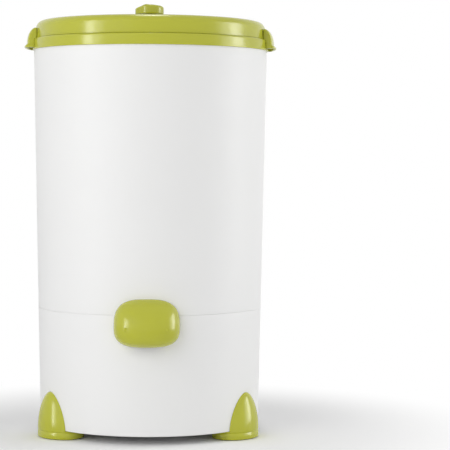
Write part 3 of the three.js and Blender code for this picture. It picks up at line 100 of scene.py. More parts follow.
world = bpy.data.worlds.new("surround")
bpy.context.scene.world = world
world.use_nodes = True
tree = world.node_tree
tree.nodes.clear()
path = tree.nodes.new("ShaderNodeLightPath")
direct = node_of(tree, "ShaderNodeMath", operation="MAXIMUM")
seen = node_of(tree, "ShaderNodeMath", operation="MAXIMUM")
lit = node_of(tree, "ShaderNodeBackground", color=(1, 1, 1, 1), strength=surround_level)
backdrop = node_of(tree, "ShaderNodeBackground", color=(1, 1, 1, 1), strength=1.0)
chosen = tree.nodes.new("ShaderNodeMixShader")
join(
    tree, (path.outputs["Is Camera Ray"], direct.inputs[0]),
    (path.outputs["Is Glossy Ray"], direct.inputs[1]), (direct.outputs[0], seen.inputs[0]),
    (path.outputs["Is Transmission Ray"], seen.inputs[1]), (seen.outputs[0], chosen.inputs[0]),
    (lit.outputs[0], chosen.inputs[1]), (backdrop.outputs[0], chosen.inputs[2]),
    (chosen.outputs[0], tree.nodes.new("ShaderNodeOutputWorld").inputs["Surface"]))


def panel(name, azimuth, elevation, width, height, power, mirrored):
    """A soft lamp at an azimuth from the front. It is either only mirrored, or it only lights."""
    lamp = bpy.data.lights.new(name, "AREA")
    lamp.shape = "RECTANGLE"
    lamp.size = width
    lamp.size_y = height
    lamp.energy = power
    lit_object = bpy.data.objects.new(name, lamp)
    turn, rise = math.radians(azimuth), math.radians(elevation)
    away = Vector((
        math.sin(turn) * math.cos(rise), -math.cos(turn) * math.cos(rise), math.sin(rise)))
    lit_object.location = Vector((0, 0, aim_height)) + away * panel_distance
    lit_object.rotation_mode = "QUATERNION"
    lit_object.rotation_quaternion = away.to_track_quat("Z", "Y")
    lit_object.visible_camera = False
    lit_object.visible_diffuse = not mirrored
    lit_object.visible_glossy = mirrored
    bpy.context.scene.collection.objects.link(lit_object)


panel("left band", -59, 4, 0.30, 1.9, 14, mirrored=True)
panel("left glow", -51, 4, 0.44, 1.9, 6, mirrored=True)
panel("right band", 92, 4, 0.55, 1.9, 19, mirrored=True)
panel("right glow", 80, 4, 0.70, 1.9, 10, mirrored=True)
panel("low fill", -5, -8, 1.2, 0.5, 2.5, mirrored=False)
panel("overhead band", 0, 100, 0.40, 0.8, 8, mirrored=True)
panel("key", -38, 22, 1.6, 1.6, 17, mirrored=False)
panel("fill", 98, 14, 1.6, 1.6, 16, mirrored=False)

floor_reach = 6.0
shade_reach = 0.24
clear_reach = 0.60
floor_mesh = bpy.data.meshes.new("floor")
corners = [(x * floor_reach, y * floor_reach, 0) for x, y in ((-1, -1), (1, -1), (1, 1), (-1, 1))]
floor_mesh.from_pydata(corners, [], [(0, 1, 2, 3)])
floor = bpy.data.objects.new("floor", floor_mesh)
bpy.context.scene.collection.objects.link(floor)

floor_paint = bpy.data.materials.new("white sweep")
floor_paint.use_nodes = True
tree = floor_paint.node_tree
tree.nodes.clear()
spot = tree.nodes.new("ShaderNodeTexCoord")
reach = node_of(tree, "ShaderNodeVectorMath", operation="LENGTH")
fade = tree.nodes.new("ShaderNodeMapRange")
fade.interpolation_type = "SMOOTHSTEP"
fade.inputs["From Min"].default_value = shade_reach
fade.inputs["From Max"].default_value = clear_reach
path = tree.nodes.new("ShaderNodeLightPath")
open_floor = node_of(tree, "ShaderNodeMath", operation="MULTIPLY")
paper = node_of(tree, "ShaderNodeBsdfDiffuse", color=(0.93, 0.93, 0.93, 1))
white = node_of(tree, "ShaderNodeEmission", color=(1, 1, 1, 1), strength=1.0)
blend = tree.nodes.new("ShaderNodeMixShader")
join(
    tree, (spot.outputs["Object"], reach.inputs[0]), (reach.outputs["Value"], fade.inputs["Value"]),
    (fade.outputs[0], open_floor.inputs[0]), (path.outputs["Is Camera Ray"], open_floor.inputs[1]),
    (open_floor.outputs[0], blend.inputs[0]), (paper.outputs[0], blend.inputs[1]),
    (white.outputs[0], blend.inputs[2]),
    (blend.outputs[0], tree.nodes.new("ShaderNodeOutputMaterial").inputs["Surface"]))
floor_mesh.materials.append(floor_paint)

# ---------------------------------------------------------------- base shell
# The lower shell is injection-moulded white plastic. It holds the motor on three posts, and its upper
# lip locates the cabinet at the seam. A round hole in its floor lets cooling air in.
base_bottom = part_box("base_shell")[0].z
cabinet_low, cabinet_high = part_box("upper_cabinet")
fit = 0.0003
seam_gap = 0.0006
seam_height = cabinet_low.z - seam_gap / 2
rim_socket = 0.009
shoulder_height = cabinet_high.z + fit - rim_socket
shoulder_radius = 0.1822
seam_radius = 0.1748
foot_radius = 0.1712
base_wall = 0.003
cabinet_wall = 0.0024
floor_top = base_bottom + 0.004
shelf_height = seam_height + 0.004
shelf_thickness = 0.003
shelf_inner = 0.150
lip_height = 0.006
air_inlet = 0.050
gland_height = 0.110
mount_height = 0.0197
thirds = (90, 210, 330)
foot_turns = {"left": -60, "right": 60, "rear": 180}
screw_circle = 0.148
screw_bore = 0.0021
stud_bore = 0.0033
hook_spacing = 0.030
fine_sides = 192
longest_step = 0.012


def rounded(corners, steps=5):
    """A closed outline of (radius, height, fillet) corners, with each fillet drawn as an arc."""
    outline = []
    for i, (radius, height, fillet) in enumerate(corners):
        corner = Vector((radius, height))
        before = Vector(corners[i - 1][:2]) - corner
        after = Vector(corners[(i + 1) % len(corners)][:2]) - corner
        half = before.angle(after) / 2
        if not fillet or half > 1.5:
            outline.append(corner)
            continue
        back = min(fillet / math.tan(half), 0.48 * before.length, 0.48 * after.length)
        size = back * math.tan(half)
        inwards = (before.normalized() + after.normalized()).normalized()
        centre = corner + inwards * (size / math.sin(half))
        first = corner + before.normalized() * back - centre
        sweep = first.angle_signed(corner + after.normalized() * back - centre)
        for step in range(steps + 1):
            turn = Matrix.Rotation(-sweep * step / steps, 2)
            outline.append(centre + turn @ first)
    fine = []
    for i, point in enumerate(outline):
        following = outline[(i + 1) % len(outline)]
        parts = max(1, math.ceil((following - point).length / longest_step))
        fine += [tuple(point.lerp(following, part / parts)) for part in range(parts)]
    return fine


def band(inner, outer, low, high, inner_fillet, outer_fillet, steps=5):
    """The outline of a ring's rectangular section, with one fillet for its bore and one for its rim."""
    return rounded([
        (inner, low, inner_fillet), (outer, low, outer_fillet), (outer, high, outer_fillet),
        (inner, high, inner_fillet)], steps)


def tidy(piece, sharp=38):
    """Joins doubled points, turns the faces outwards and marks the edges that stay sharp."""
    work = bmesh.new()
    work.from_mesh(piece.data)
    bmesh.ops.remove_doubles(work, verts=work.verts, dist=2e-6)
    bmesh.ops.dissolve_degenerate(work, dist=1e-6, edges=work.edges)
    bmesh.ops.delete(work, geom=[edge for edge in work.edges if edge.is_wire], context="EDGES")
    bmesh.ops.recalc_face_normals(work, faces=work.faces)
    work.to_mesh(piece.data)
    work.free()
    piece.data.shade_smooth()
    piece.data.set_sharp_from_angle(angle=math.radians(sharp))
    return piece


def mesh_piece(name, points, faces, sharp=38):
    """An object of the given faces, smooth where they meet at less than an angle in degrees."""
    mesh = bpy.data.meshes.new(name)
    mesh.from_pydata(points, [], faces)
    piece = bpy.data.objects.new(name, mesh)
    bpy.context.scene.collection.objects.link(piece)
    return tidy(piece, sharp)


def lofted(name, rings, closed=False, sharp=38):
    """A skin through rings of points. Its ends are filled, or it closes on itself."""
    count = len(rings[0])
    points = [point for ring in rings for point in ring]
    faces = []
    for i in range(len(rings) if closed else len(rings) - 1):
        here, there = i * count, ((i + 1) % len(rings)) * count
        for k in range(count):
            beside = (k + 1) % count
            faces.append([here + k, here + beside, there + beside, there + k])
    if not closed:
        faces.append(list(range(count)))
        faces.append(list(range(len(points) - count, len(points))))
    return mesh_piece(name, points, faces, sharp)


def full_turn(sides):
    """The angles of a full turn in equal steps."""
    return [2 * math.pi * side / sides for side in range(sides)]


def round_ring(radius, height, sides):
    """A level circle about the machine's axis."""
    return [(radius * math.cos(angle), radius * math.sin(angle), height) for angle in full_turn(sides)]


def turned(name, outline, sides=fine_sides, sharp=38):
    """A closed body of revolution about the machine's axis."""
    rings = [
        [(radius * math.sin(angle), -radius * math.cos(angle), height) for angle in full_turn(sides)]
        for radius, height in outline]
    return lofted(name, rings, closed=True, sharp=sharp)


def spun(name, profile, start, end, sides=48, sharp=38):
    """A solid of (radius, share) rings along the line between two points."""
    start, end = Vector(start), Vector(end)
    turn = (end - start).to_track_quat("Z", "Y").to_matrix()
    rings = [
        [start.lerp(end, share) + turn @ Vector((radius * math.cos(angle), radius * math.sin(angle), 0))
         for angle in full_turn(sides)]
        for radius, share in profile]
    return lofted(name, rings, sharp=sharp)


def rod(name, radius, start, end, sides=48):
    """A plain round rod between two points."""
    return spun(name, [(radius, 0), (radius, 1)], start, end, sides)


def post(radius, x, y, low, high, sides=48):
    """An upright round tool between two heights."""
    return rod("post", radius, (x, y, low), (x, y, high), sides)


def block(name, low, high):
    """A rectangular tool between two corners."""
    rings = []
    for z in (low[2], high[2]):
        rings.append([(low[0], low[1], z), (high[0], low[1], z), (high[0], high[1], z), (low[0], high[1], z)])
    return lofted(name, rings)


def slab(name, low, high, bevel=0.0004):
    """A rectangular piece between two corners, with all its edges broken."""
    rings = []
    for z, inset in ((low[2], bevel), (low[2] + bevel, 0), (high[2] - bevel, 0), (high[2], bevel)):
        x0, y0, x1, y1 = low[0] + inset, low[1] + inset, high[0] - inset, high[1] - inset
        rings.append([
            (x0 + bevel, y0, z), (x1 - bevel, y0, z), (x1, y0 + bevel, z), (x1, y1 - bevel, z),
            (x1 - bevel, y1, z), (x0 + bevel, y1, z), (x0, y1 - bevel, z), (x0, y0 + bevel, z)])
    return lofted(name, rings, sharp=30)


def arc(centre, reach, start, end, steps):
    """Points of an ellipse's arc between two angles in degrees, in the plane of radius and height."""
    angles = [math.radians(start + (end - start) * step / steps) for step in range(steps + 1)]
    return [
        (centre[0] + reach[0] * math.cos(angle), centre[1] + reach[1] * math.sin(angle))
        for angle in angles]


def shifted(piece, x, y):
    """Moves a piece that was drawn on the machine's axis."""
    piece.data.transform(Matrix.Translation((x, y, 0)))
    return piece


def combine(piece, tool, operation="DIFFERENCE", sharp=38):
    """Cuts a tool out of a piece, or joins it on, and uses the tool up."""
    change = piece.modifiers.new("combine", "BOOLEAN")
    change.object = tool
    change.operation = operation
    change.solver = "EXACT"
    bpy.context.view_layer.update()
    graph = bpy.context.evaluated_depsgraph_get()
    result = bpy.data.meshes.new_from_object(piece.evaluated_get(graph))
    piece.modifiers.clear()
    piece.data = result
    bpy.data.objects.remove(tool)
    return tidy(piece, sharp)


def wall_radius(height):
    """The outer radius of the two white shells at a height."""
    if height < seam_height:
        share = (height - base_bottom) / (seam_height - base_bottom)
        return foot_radius + (seam_radius - foot_radius) * share
    share = (height - seam_height) / (shoulder_height - seam_height)
    return seam_radius + (shoulder_radius - seam_radius) * share


def effect(name, colours, numbers=()):
    """An empty effect that gives a colour, a roughness and a height, and its input and output nodes."""
    group = bpy.data.node_groups.new(name, "ShaderNodeTree")
    for labels, kind, way in (
            (colours, "NodeSocketColor", "INPUT"), (numbers, "NodeSocketFloat", "INPUT"),
            (["Colour"], "NodeSocketColor", "OUTPUT"),
            (["Roughness", "Height"], "NodeSocketFloat", "OUTPUT")):
        for label in labels:
            group.interface.new_socket(label, in_out=way, socket_type=kind)
    return group, group.nodes.new("NodeGroupInput"), group.nodes.new("NodeGroupOutput")


def wandering(tree, coordinates, scale, detail, low, high, turbulence=0.5):
    """A noise over the surface that wanders between two values. A value may be a socket."""
    noise = node_of(tree, "ShaderNodeTexNoise", detail=detail, roughness=turbulence)
    span = tree.nodes.new("ShaderNodeMapRange")
    span.inputs["From Min"].default_value = 0.3
    span.inputs["From Max"].default_value = 0.7
    join(
        tree, (coordinates, noise.inputs["Vector"]), (noise.outputs["Fac"], span.inputs["Value"]))
    for value, socket in (
            (scale, noise.inputs["Scale"]), (low, span.inputs["To Min"]), (high, span.inputs["To Max"])):
        if isinstance(value, (int, float)):
            socket.default_value = value
        else:
            tree.links.new(value, socket)
    return span.outputs["Result"]


# moulded skin: a slow drift of tone, rubbed edges, an uneven gloss and the fine grain of the mould
moulded_skin, given, out = effect(
    "moulded skin", ["Colour"],
    ["Tone Low", "Tone High", "Edge Lift", "Gloss Low", "Gloss High", "Grain Scale"])
place = moulded_skin.nodes.new("ShaderNodeTexCoord").outputs["Object"]
tone = wandering(
    moulded_skin, place, 7.0, 3.0, given.outputs["Tone Low"], given.outputs["Tone High"])
shade = moulded_skin.nodes.new("ShaderNodeHueSaturation")
form = moulded_skin.nodes.new("ShaderNodeNewGeometry")
rub = moulded_skin.nodes.new("ShaderNodeMapRange")
rub.inputs["From Min"].default_value = 0.56
rub.inputs["From Max"].default_value = 0.66
patchy = wandering(moulded_skin, place, 90.0, 4.0, 0.0, 1.0)
gloss = wandering(moulded_skin, place, 26.0, 4.0, given.outputs["Gloss Low"], given.outputs["Gloss High"])
grain = wandering(moulded_skin, place, given.outputs["Grain Scale"], 2.0, 0.0, 1.0)
worn = node_of(moulded_skin, "ShaderNodeMath", operation="MULTIPLY")
lift = node_of(moulded_skin, "ShaderNodeMath", operation="MULTIPLY_ADD")
join(
    moulded_skin, (form.outputs["Pointiness"], rub.inputs["Value"]),
    (rub.outputs["Result"], worn.inputs[0]), (patchy, worn.inputs[1]), (worn.outputs[0], lift.inputs[0]),
    (given.outputs["Edge Lift"], lift.inputs[1]), (tone, lift.inputs[2]),
    (lift.outputs[0], shade.inputs["Value"]), (given.outputs["Colour"], shade.inputs["Color"]),
    (shade.outputs["Color"], out.inputs["Colour"]),
    (gloss, out.inputs["Roughness"]), (grain, out.inputs["Height"]))


def finish_of(name, group, values, bump_distance, bump_strength, **shader_values):
    """A material of one shader whose colour, gloss and relief come from an effect."""
    material = bpy.data.materials.new(name)
    material.use_nodes = True
    tree = material.node_tree
    shader = tree.nodes["Principled BSDF"]
    for label, value in shader_values.items():
        shader.inputs[label.replace("_", " ").title().replace("Ior", "IOR")].default_value = value
    source = tree.nodes.new("ShaderNodeGroup")
    source.node_tree = group
    for label, value in values.items():
        source.inputs[label].default_value = value
    relief = node_of(tree, "ShaderNodeBump", distance=bump_distance, strength=bump_strength)
    join(
        tree, (source.outputs["Colour"], shader.inputs["Base Color"]),
        (source.outputs["Roughness"], shader.inputs["Roughness"]),
        (source.outputs["Height"], relief.inputs["Height"]),
        (relief.outputs["Normal"], shader.inputs["Normal"]))
    return material


def plastic(name, colour, tone, edge_lift, gloss, grain, bump_distance, bump_strength=0.5, **shader_values):
    """A moulded plastic or rubber."""
    values = {
        "Colour": (*colour, 1), "Tone Low": 1 - tone, "Tone High": 1 + tone, "Edge Lift": edge_lift,
        "Gloss Low": gloss[0], "Gloss High": gloss[1], "Grain Scale": grain}
    return finish_of(name, moulded_skin, values, bump_distance, bump_strength, **shader_values)


def stand_for(piece, body, slot, *nodes):
    """Gives a piece the finish of its slot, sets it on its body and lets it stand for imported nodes."""
    piece.data.materials.clear()
    piece.data.materials.append(finishes[slot])
    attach(piece, body)
    if nodes:
        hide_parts(*nodes)
    return piece


def dress(node, slot):
    """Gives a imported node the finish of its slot."""
    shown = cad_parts[node]
    shown.data.materials.clear()
    shown.data.materials.append(finishes[slot])


finishes = {}
finishes["white_plastic"] = plastic(
    "white plastic", (0.86, 0.86, 0.855), 0.004, 0.0, (0.46, 0.54), 900.0, 0.00003, specular_ior_level=0.32)

lip_outer = seam_radius - cabinet_wall - fit
lip_inner = lip_outer - 0.002
base_shell = turned("base-shell", rounded([
    (foot_radius, base_bottom, 0.0016),
    (seam_radius, seam_height - seam_gap / 2, 0.0004),
    (seam_radius - 0.0007, seam_height - seam_gap / 2, 0),
    (seam_radius - 0.0007, seam_height + seam_gap / 2 - 0.0001, 0),
    (lip_outer, seam_height + seam_gap / 2 - 0.0001, 0),
    (lip_outer, seam_height + lip_height, 0.0006),
    (lip_inner, seam_height + lip_height, 0.0006),
    (lip_inner, shelf_height, 0.0008),
    (shelf_inner, shelf_height, 0.0006),
    (shelf_inner, shelf_height - shelf_thickness, 0.0006),
    (wall_radius(shelf_height) - base_wall, shelf_height - shelf_thickness, 0.001),
    (wall_radius(floor_top) - base_wall, floor_top, 0.003),
    (air_inlet, floor_top, 0.0008),
    (air_inlet, base_bottom, 0.0008),
]))
post_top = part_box("motor_plate")[0].z - mount_height - 2 * fit
for number in (1, 2, 3):
    mount_low, mount_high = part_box("motor_mount_%d" % number)
    x, y = (mount_low.x + mount_high.x) / 2, (mount_low.y + mount_high.y) / 2
    combine(base_shell, post(0.009, x, y, floor_top - 0.001, post_top), "UNION")
    combine(base_shell, post(stud_bore, x, y, post_top - 0.012, post_top + 0.002))
for turn in foot_turns.values():
    spot = Matrix.Rotation(math.radians(turn), 4, "Z") @ Vector((0, -screw_circle, 0))
    combine(base_shell, post(0.006, spot.x, spot.y, floor_top - 0.001, floor_top + 0.010), "UNION")
    combine(base_shell, post(screw_bore, spot.x, spot.y, base_bottom - 0.002, floor_top + 0.012))
gland_wall = wall_radius(gland_height)
combine(base_shell, rod(
    "inlet hole", 0.0093, (0, gland_wall - 0.015, gland_height), (0, gland_wall + 0.015, gland_height)))
pipe_height = 0.178
pipe_fall = 0.003
pipe_wall = wall_radius(pipe_height)
combine(base_shell, rod(
    "drain hole", 0.0102, (0, -pipe_wall - 0.015, pipe_height - pipe_fall / 2),
    (0, -pipe_wall + 0.015, pipe_height - pipe_fall / 2)))
for x in (-hook_spacing, hook_spacing):
    combine(base_shell, block(
        "hook slot", (x - 0.0023, -pipe_wall - 0.015, pipe_height - 0.0028),
        (x + 0.0023, -pipe_wall + 0.015, pipe_height + 0.0028)))
cable_x, cable_y, cable_bore = 0.040, -0.161, 0.004
combine(base_shell, post(
    cable_bore, cable_x, cable_y, shelf_height - shelf_thickness - 0.002, shelf_height + 0.002))
stand_for(base_shell, "cabinet", "white_plastic", "base_shell")

# ---------------------------------------------------------------- feet
# Three green feet are moulded in one piece each: a pad under the base and a bullet-shaped lug that rises
# outside the wall. A screw from below holds each foot, and a black rubber sole is pressed into its pad.
foot_centre = 0.1549
foot_radial = 0.0336
foot_tangential = 0.0428
lug_start = 0.015
lug_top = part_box("foot_right")[1].z + 0.0016
lug_power = 1.75
lug_steps = 30
pad_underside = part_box("foot_right")[0].z
pad_line = 0.0116
sole_inset = 0.004
cross_slot = 0.0005

finishes["green_plastic"] = plastic(
    "green plastic", (0.47, 0.48, 0.028), 0.012, 0.05, (0.17, 0.24), 700.0, 0.00004, coat_weight=0.05,
    coat_roughness=0.12)
finishes["rubber"] = plastic(
    "black rubber", (0.022, 0.022, 0.023), 0.12, 0.6, (0.62, 0.82), 1500.0, 0.0001, 0.8)


def foot_plan(scale, height, inset=0.0, sides=96):
    """A foot's outline at the front: an ellipse, drawn in towards the wall by a scale."""
    wall = -wall_radius(lug_start)
    ring = []
    for angle in full_turn(sides):
        x = (foot_tangential - inset) * math.cos(angle)
        y = -foot_centre + (foot_radial - inset) * math.sin(angle)
        ring.append((x * scale, wall + (y - wall) * scale, height))
    return ring


def turned_to(piece, degrees):
    """Turns a piece that was drawn at the front about the machine's axis."""
    piece.data.transform(Matrix.Rotation(math.radians(degrees), 4, "Z"))
    return piece


# brushed metal: fine lines round the axis, an uneven tone and gloss that follow them
brushed_skin, given, out = effect(
    "brushed skin", ["Colour", "Dark"], ["Gloss Low", "Gloss High", "Line Scale"])
place = brushed_skin.nodes.new("ShaderNodeTexCoord").outputs["Object"]
parts = brushed_skin.nodes.new("ShaderNodeSeparateXYZ")
bearing = node_of(brushed_skin, "ShaderNodeMath", operation="ARCTAN2")
length = node_of(brushed_skin, "ShaderNodeVectorMath", operation="LENGTH")
rolled = brushed_skin.nodes.new("ShaderNodeCombineXYZ")
join(
    brushed_skin, (place, parts.inputs[0]), (place, length.inputs[0]),
    (parts.outputs["Y"], bearing.inputs[0]), (parts.outputs["X"], bearing.inputs[1]))
for share, source, socket in (
        (0.004, bearing.outputs[0], "X"), (1.0, length.outputs["Value"], "Y"),
        (1.0, parts.outputs["Z"], "Z")):
    scaled = node_of(brushed_skin, "ShaderNodeMath", operation="MULTIPLY")
    scaled.inputs[1].default_value = share
    join(
        brushed_skin, (source, scaled.inputs[0]), (scaled.outputs[0], rolled.inputs[socket]))
lines = wandering(brushed_skin, rolled.outputs[0], given.outputs["Line Scale"], 3.0, 0.0, 1.0)
gloss = wandering(brushed_skin, place, 40.0, 4.0, given.outputs["Gloss Low"], given.outputs["Gloss High"])
tint = brushed_skin.nodes.new("ShaderNodeMix")
tint.data_type = "RGBA"
join(
    brushed_skin, (lines, tint.inputs["Factor"]), (given.outputs["Dark"], tint.inputs["A"]),
    (given.outputs["Colour"], tint.inputs["B"]), (tint.outputs["Result"], out.inputs["Colour"]),
    (gloss, out.inputs["Roughness"]), (lines, out.inputs["Height"]))


def metal(name, colour, dark, gloss, lines, bump_distance, bump_strength=0.4):
    """A metal with fine working lines."""
    values = {
        "Colour": (*colour, 1), "Dark": (*dark, 1), "Gloss Low": gloss[0], "Gloss High": gloss[1],
        "Line Scale": lines}
    return finish_of(name, brushed_skin, values, bump_distance, bump_strength, metallic=1.0)


finishes["steel"] = metal(
    "zinc-plated steel", (0.56, 0.58, 0.60), (0.42, 0.43, 0.44), (0.24, 0.38), 900.0, 0.00002)


def cross_screw(name, profile, spot, head, tip, cross_reach, cross_depth):
    """A screw that stands on its head, with a cross recess in it."""
    x, y = spot
    screw = spun(name, profile, (x, y, head), (x, y, tip), 32)
    for wide, deep in ((cross_reach, cross_slot), (cross_slot, cross_reach)):
        combine(screw, block(
            "cross", (x - wide, y - deep, head - 0.001), (x + wide, y + deep, head + cross_depth)))
    return screw


for side, turn in foot_turns.items():
    rings = [foot_plan(1, pad_underside, 0.0008), foot_plan(1, pad_underside + 0.0003, 0.0002),
             foot_plan(1, pad_underside + 0.0009)]
    rings += [foot_plan(1, pad_line + lift, depth) for lift, depth in (
        (-0.0007, 0), (-0.0004, 0.0002), (0, 0.0006), (0.0004, 0.0002), (0.0007, 0))]
    rings.append(foot_plan(1, lug_start))
    for step in range(1, lug_steps):
        share = math.sin(math.pi / 2 * step / lug_steps)
        height = lug_start + (lug_top - lug_start) * share
        rings.append(foot_plan(math.sqrt(1 - share ** lug_power), height))
    rings.append(foot_plan(0.01, lug_top))
    foot = lofted("foot-" + side, rings)
    combine(foot, turned("wall", [
        (0, base_bottom - fit), (foot_radius + fit, base_bottom - fit),
        (wall_radius(lug_top + 0.01) + fit, lug_top + 0.01), (0, lug_top + 0.01)]))
    combine(foot, lofted("recess", [
        foot_plan(1, pad_underside - 0.002, sole_inset - fit), foot_plan(1, 0.003, sole_inset - fit)]))
    combine(foot, spun("screw hole", [(0.0046, 0), (0.0046, 0.4), (screw_bore, 0.4), (screw_bore, 1)],
                       (0, -screw_circle, 0), (0, -screw_circle, 0.015)))
    turned_to(foot, turn)
    stand_for(foot, "cabinet", "green_plastic", "foot_" + side)

    sole_rings = [foot_plan(1, 0, sole_inset + 0.0012), foot_plan(1, 0.0004, sole_inset + 0.0003),
                  foot_plan(1, 0.0010, sole_inset), foot_plan(1, 0.0027, sole_inset)]
    sole = lofted("sole-" + side, sole_rings)
    for inset in (0.009, 0.014):
        groove = lofted("groove", [
            foot_plan(1, -0.001, inset), foot_plan(1, 0.0006, inset + 0.0004),
            foot_plan(1, 0.0006, inset + 0.0012), foot_plan(1, -0.001, inset + 0.0016)], closed=True)
        combine(sole, groove)
    combine(sole, post(0.006, 0, -screw_circle, -0.002, 0.005))
    turned_to(sole, turn)
    stand_for(sole, "cabinet", "rubber", "sole_" + side)

    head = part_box("foot_screw_rear")[0].z
    screw = cross_screw("foot-screw-" + side, [
        (0.0018, 0), (0.0030, 0.015), (0.0038, 0.05), (0.0040, 0.10), (0.0018, 0.11), (0.0018, 0.97),
        (0.0012, 1)], (0, -screw_circle), head, head + 0.0215, 0.0024, 0.0013)
    turned_to(screw, turn)
    stand_for(screw, "cabinet", "steel", "foot_screw_" + side)

# ---------------------------------------------------------------- bottom grille
# A black plastic disc with radial slots is pressed over the air inlet from inside. It keeps fingers
# away from the fan.
finishes["black_plastic"] = plastic(
    "black plastic", (0.020, 0.020, 0.022), 0.15, 0.5, (0.36, 0.50), 1200.0, 0.00006, 0.7)
grille_low, grille_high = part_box("bottom_grille")
grille = turned("bottom-grille", rounded([
    (0, grille_low.z, 0), (grille_high.y, grille_low.z, 0.0004), (grille_high.y, grille_high.z, 0.0006),
    (0, grille_high.z, 0)]), 96)
slot_count = 24
for i in range(slot_count):
    inner = 0.016 if i % 2 == 0 else 0.027
    slot_tool = block("slot", (inner, -0.0019, grille_low.z - 0.002), (0.046, 0.0019, grille_high.z + 0.002))
    combine(grille, turned_to(slot_tool, 360 * i / slot_count))
stand_for(grille, "cabinet", "black_plastic", "bottom_grille")

# ---------------------------------------------------------------- cord inlet
# A black plastic bush is snapped into the rear wall. Its flange lies on the wall, and its bore is
# rounded so that a lead isn't cut.
bush = spun("cord-gland", [
    (0.0090, 0), (0.0090, 0.80), (0.0120, 0.802), (0.0120, 0.93), (0.0113, 0.985), (0.0100, 1.0),
    (0.0052, 1.0), (0.0040, 0.97), (0.0036, 0.92), (0.0036, 0)],
    (0, gland_wall - 0.014, gland_height), (0, gland_wall + 0.0033, gland_height), 64)
stand_for(bush, "cabinet", "black_plastic", "cord_gland")

# ---------------------------------------------------------------- motor
# Two bells of cast metal hold the bearings and clamp the stator's varnished laminations. The motor hangs
# under a zinc-plated plate that floats on three rubber mounts, and a black fan under it cools it.
finishes["cast_metal"] = finish_of(
    "cast metal", moulded_skin,
    {"Colour": (0.26, 0.27, 0.29, 1), "Tone Low": 0.88, "Tone High": 1.1, "Edge Lift": 0.5, "Gloss Low": 0.42,
     "Gloss High": 0.58, "Grain Scale": 500.0}, 0.00015, 0.8, metallic=1.0)

# laminations: thin level sheets with darker varnish between them
laminated_skin, given, out = effect("laminated skin", ["Colour", "Dark"])
place = laminated_skin.nodes.new("ShaderNodeTexCoord").outputs["Object"]
sheets = node_of(
    laminated_skin, "ShaderNodeTexWave", wave_type="BANDS", bands_direction="Z", scale=314.0, distortion=0.3)
tint = laminated_skin.nodes.new("ShaderNodeMix")
tint.data_type = "RGBA"
join(
    laminated_skin, (place, sheets.inputs["Vector"]), (sheets.outputs["Fac"], tint.inputs["Factor"]),
    (given.outputs["Dark"], tint.inputs["A"]), (given.outputs["Colour"], tint.inputs["B"]),
    (tint.outputs["Result"], out.inputs["Colour"]),
    (wandering(laminated_skin, place, 60.0, 3.0, 0.35, 0.55), out.inputs["Roughness"]),
    (sheets.outputs["Fac"], out.inputs["Height"]))
finishes["laminated_iron"] = finish_of(
    "laminations", laminated_skin, {"Colour": (0.10, 0.11, 0.12, 1), "Dark": (0.03, 0.03, 0.035, 1)},
    0.0001, 0.6, metallic=0.8)

shaft_bore = 0.0073
plate_low, plate_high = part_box("motor_plate")
plate_radius, plate_bore = 0.066, 0.040
arm_reach, arm_half = 0.105, 0.020
stud_low, stud_high = 0.120, 0.159
motor_radius, bearing_pocket = 0.062, 0.0173
plate_sides = 360
plate_edge = 0.0004


def plate_ring(inset, height):
    """The plate's outline: a disc with three arms that end in half circles."""
    ring = []
    for angle in full_turn(plate_sides):
        off = abs((angle - math.pi / 2 + math.pi / 3) % (2 * math.pi / 3) - math.pi / 3)
        if math.tan(off) * arm_reach < arm_half:
            reach = arm_reach * math.cos(off) + math.sqrt(arm_half ** 2 - (arm_reach * math.sin(off)) ** 2)
        else:
            reach = max(plate_radius, arm_half / math.sin(off))
        ring.append(((reach - inset) * math.cos(angle), (reach - inset) * math.sin(angle), height))
    return ring


motor_plate = lofted("motor-plate", [
    plate_ring(plate_edge, plate_low.z), plate_ring(0, plate_low.z + plate_edge),
    plate_ring(0, plate_high.z - plate_edge), plate_ring(plate_edge, plate_high.z),
    round_ring(plate_bore, plate_high.z, plate_sides), round_ring(plate_bore, plate_low.z, plate_sides)],
    closed=True)
buffer_foot, buffer_head = plate_low.z - fit - mount_height, plate_low.z - fit
for i, turn in enumerate(thirds):
    x, y = arm_reach * math.cos(math.radians(turn)), arm_reach * math.sin(math.radians(turn))
    combine(motor_plate, post(stud_bore, x, y, plate_low.z - 0.002, plate_high.z + 0.002))
    buffer = turned("motor-mount-%d" % (i + 1), rounded([
        (0.0031, buffer_foot, 0), (0.012, buffer_foot, 0.0015), (0.012, buffer_foot + 0.005, 0.002),
        (0.0103, buffer_foot + 0.0098, 0.004), (0.012, buffer_head - 0.005, 0.002),
        (0.012, buffer_head, 0.0015), (0.0031, buffer_head, 0)]), 64)
    stand_for(shifted(buffer, x, y), "cabinet", "rubber", "motor_mount_%d" % (i + 1))
    stud = spun("mount-stud-%d" % (i + 1), [
        (0.0022, 0), (0.003, 0.02), (0.003, 0.98), (0.0022, 1)], (x, y, stud_low), (x, y, stud_high), 24)
    stand_for(stud, "cabinet", "steel")
stand_for(motor_plate, "cabinet", "steel", "motor_plate")

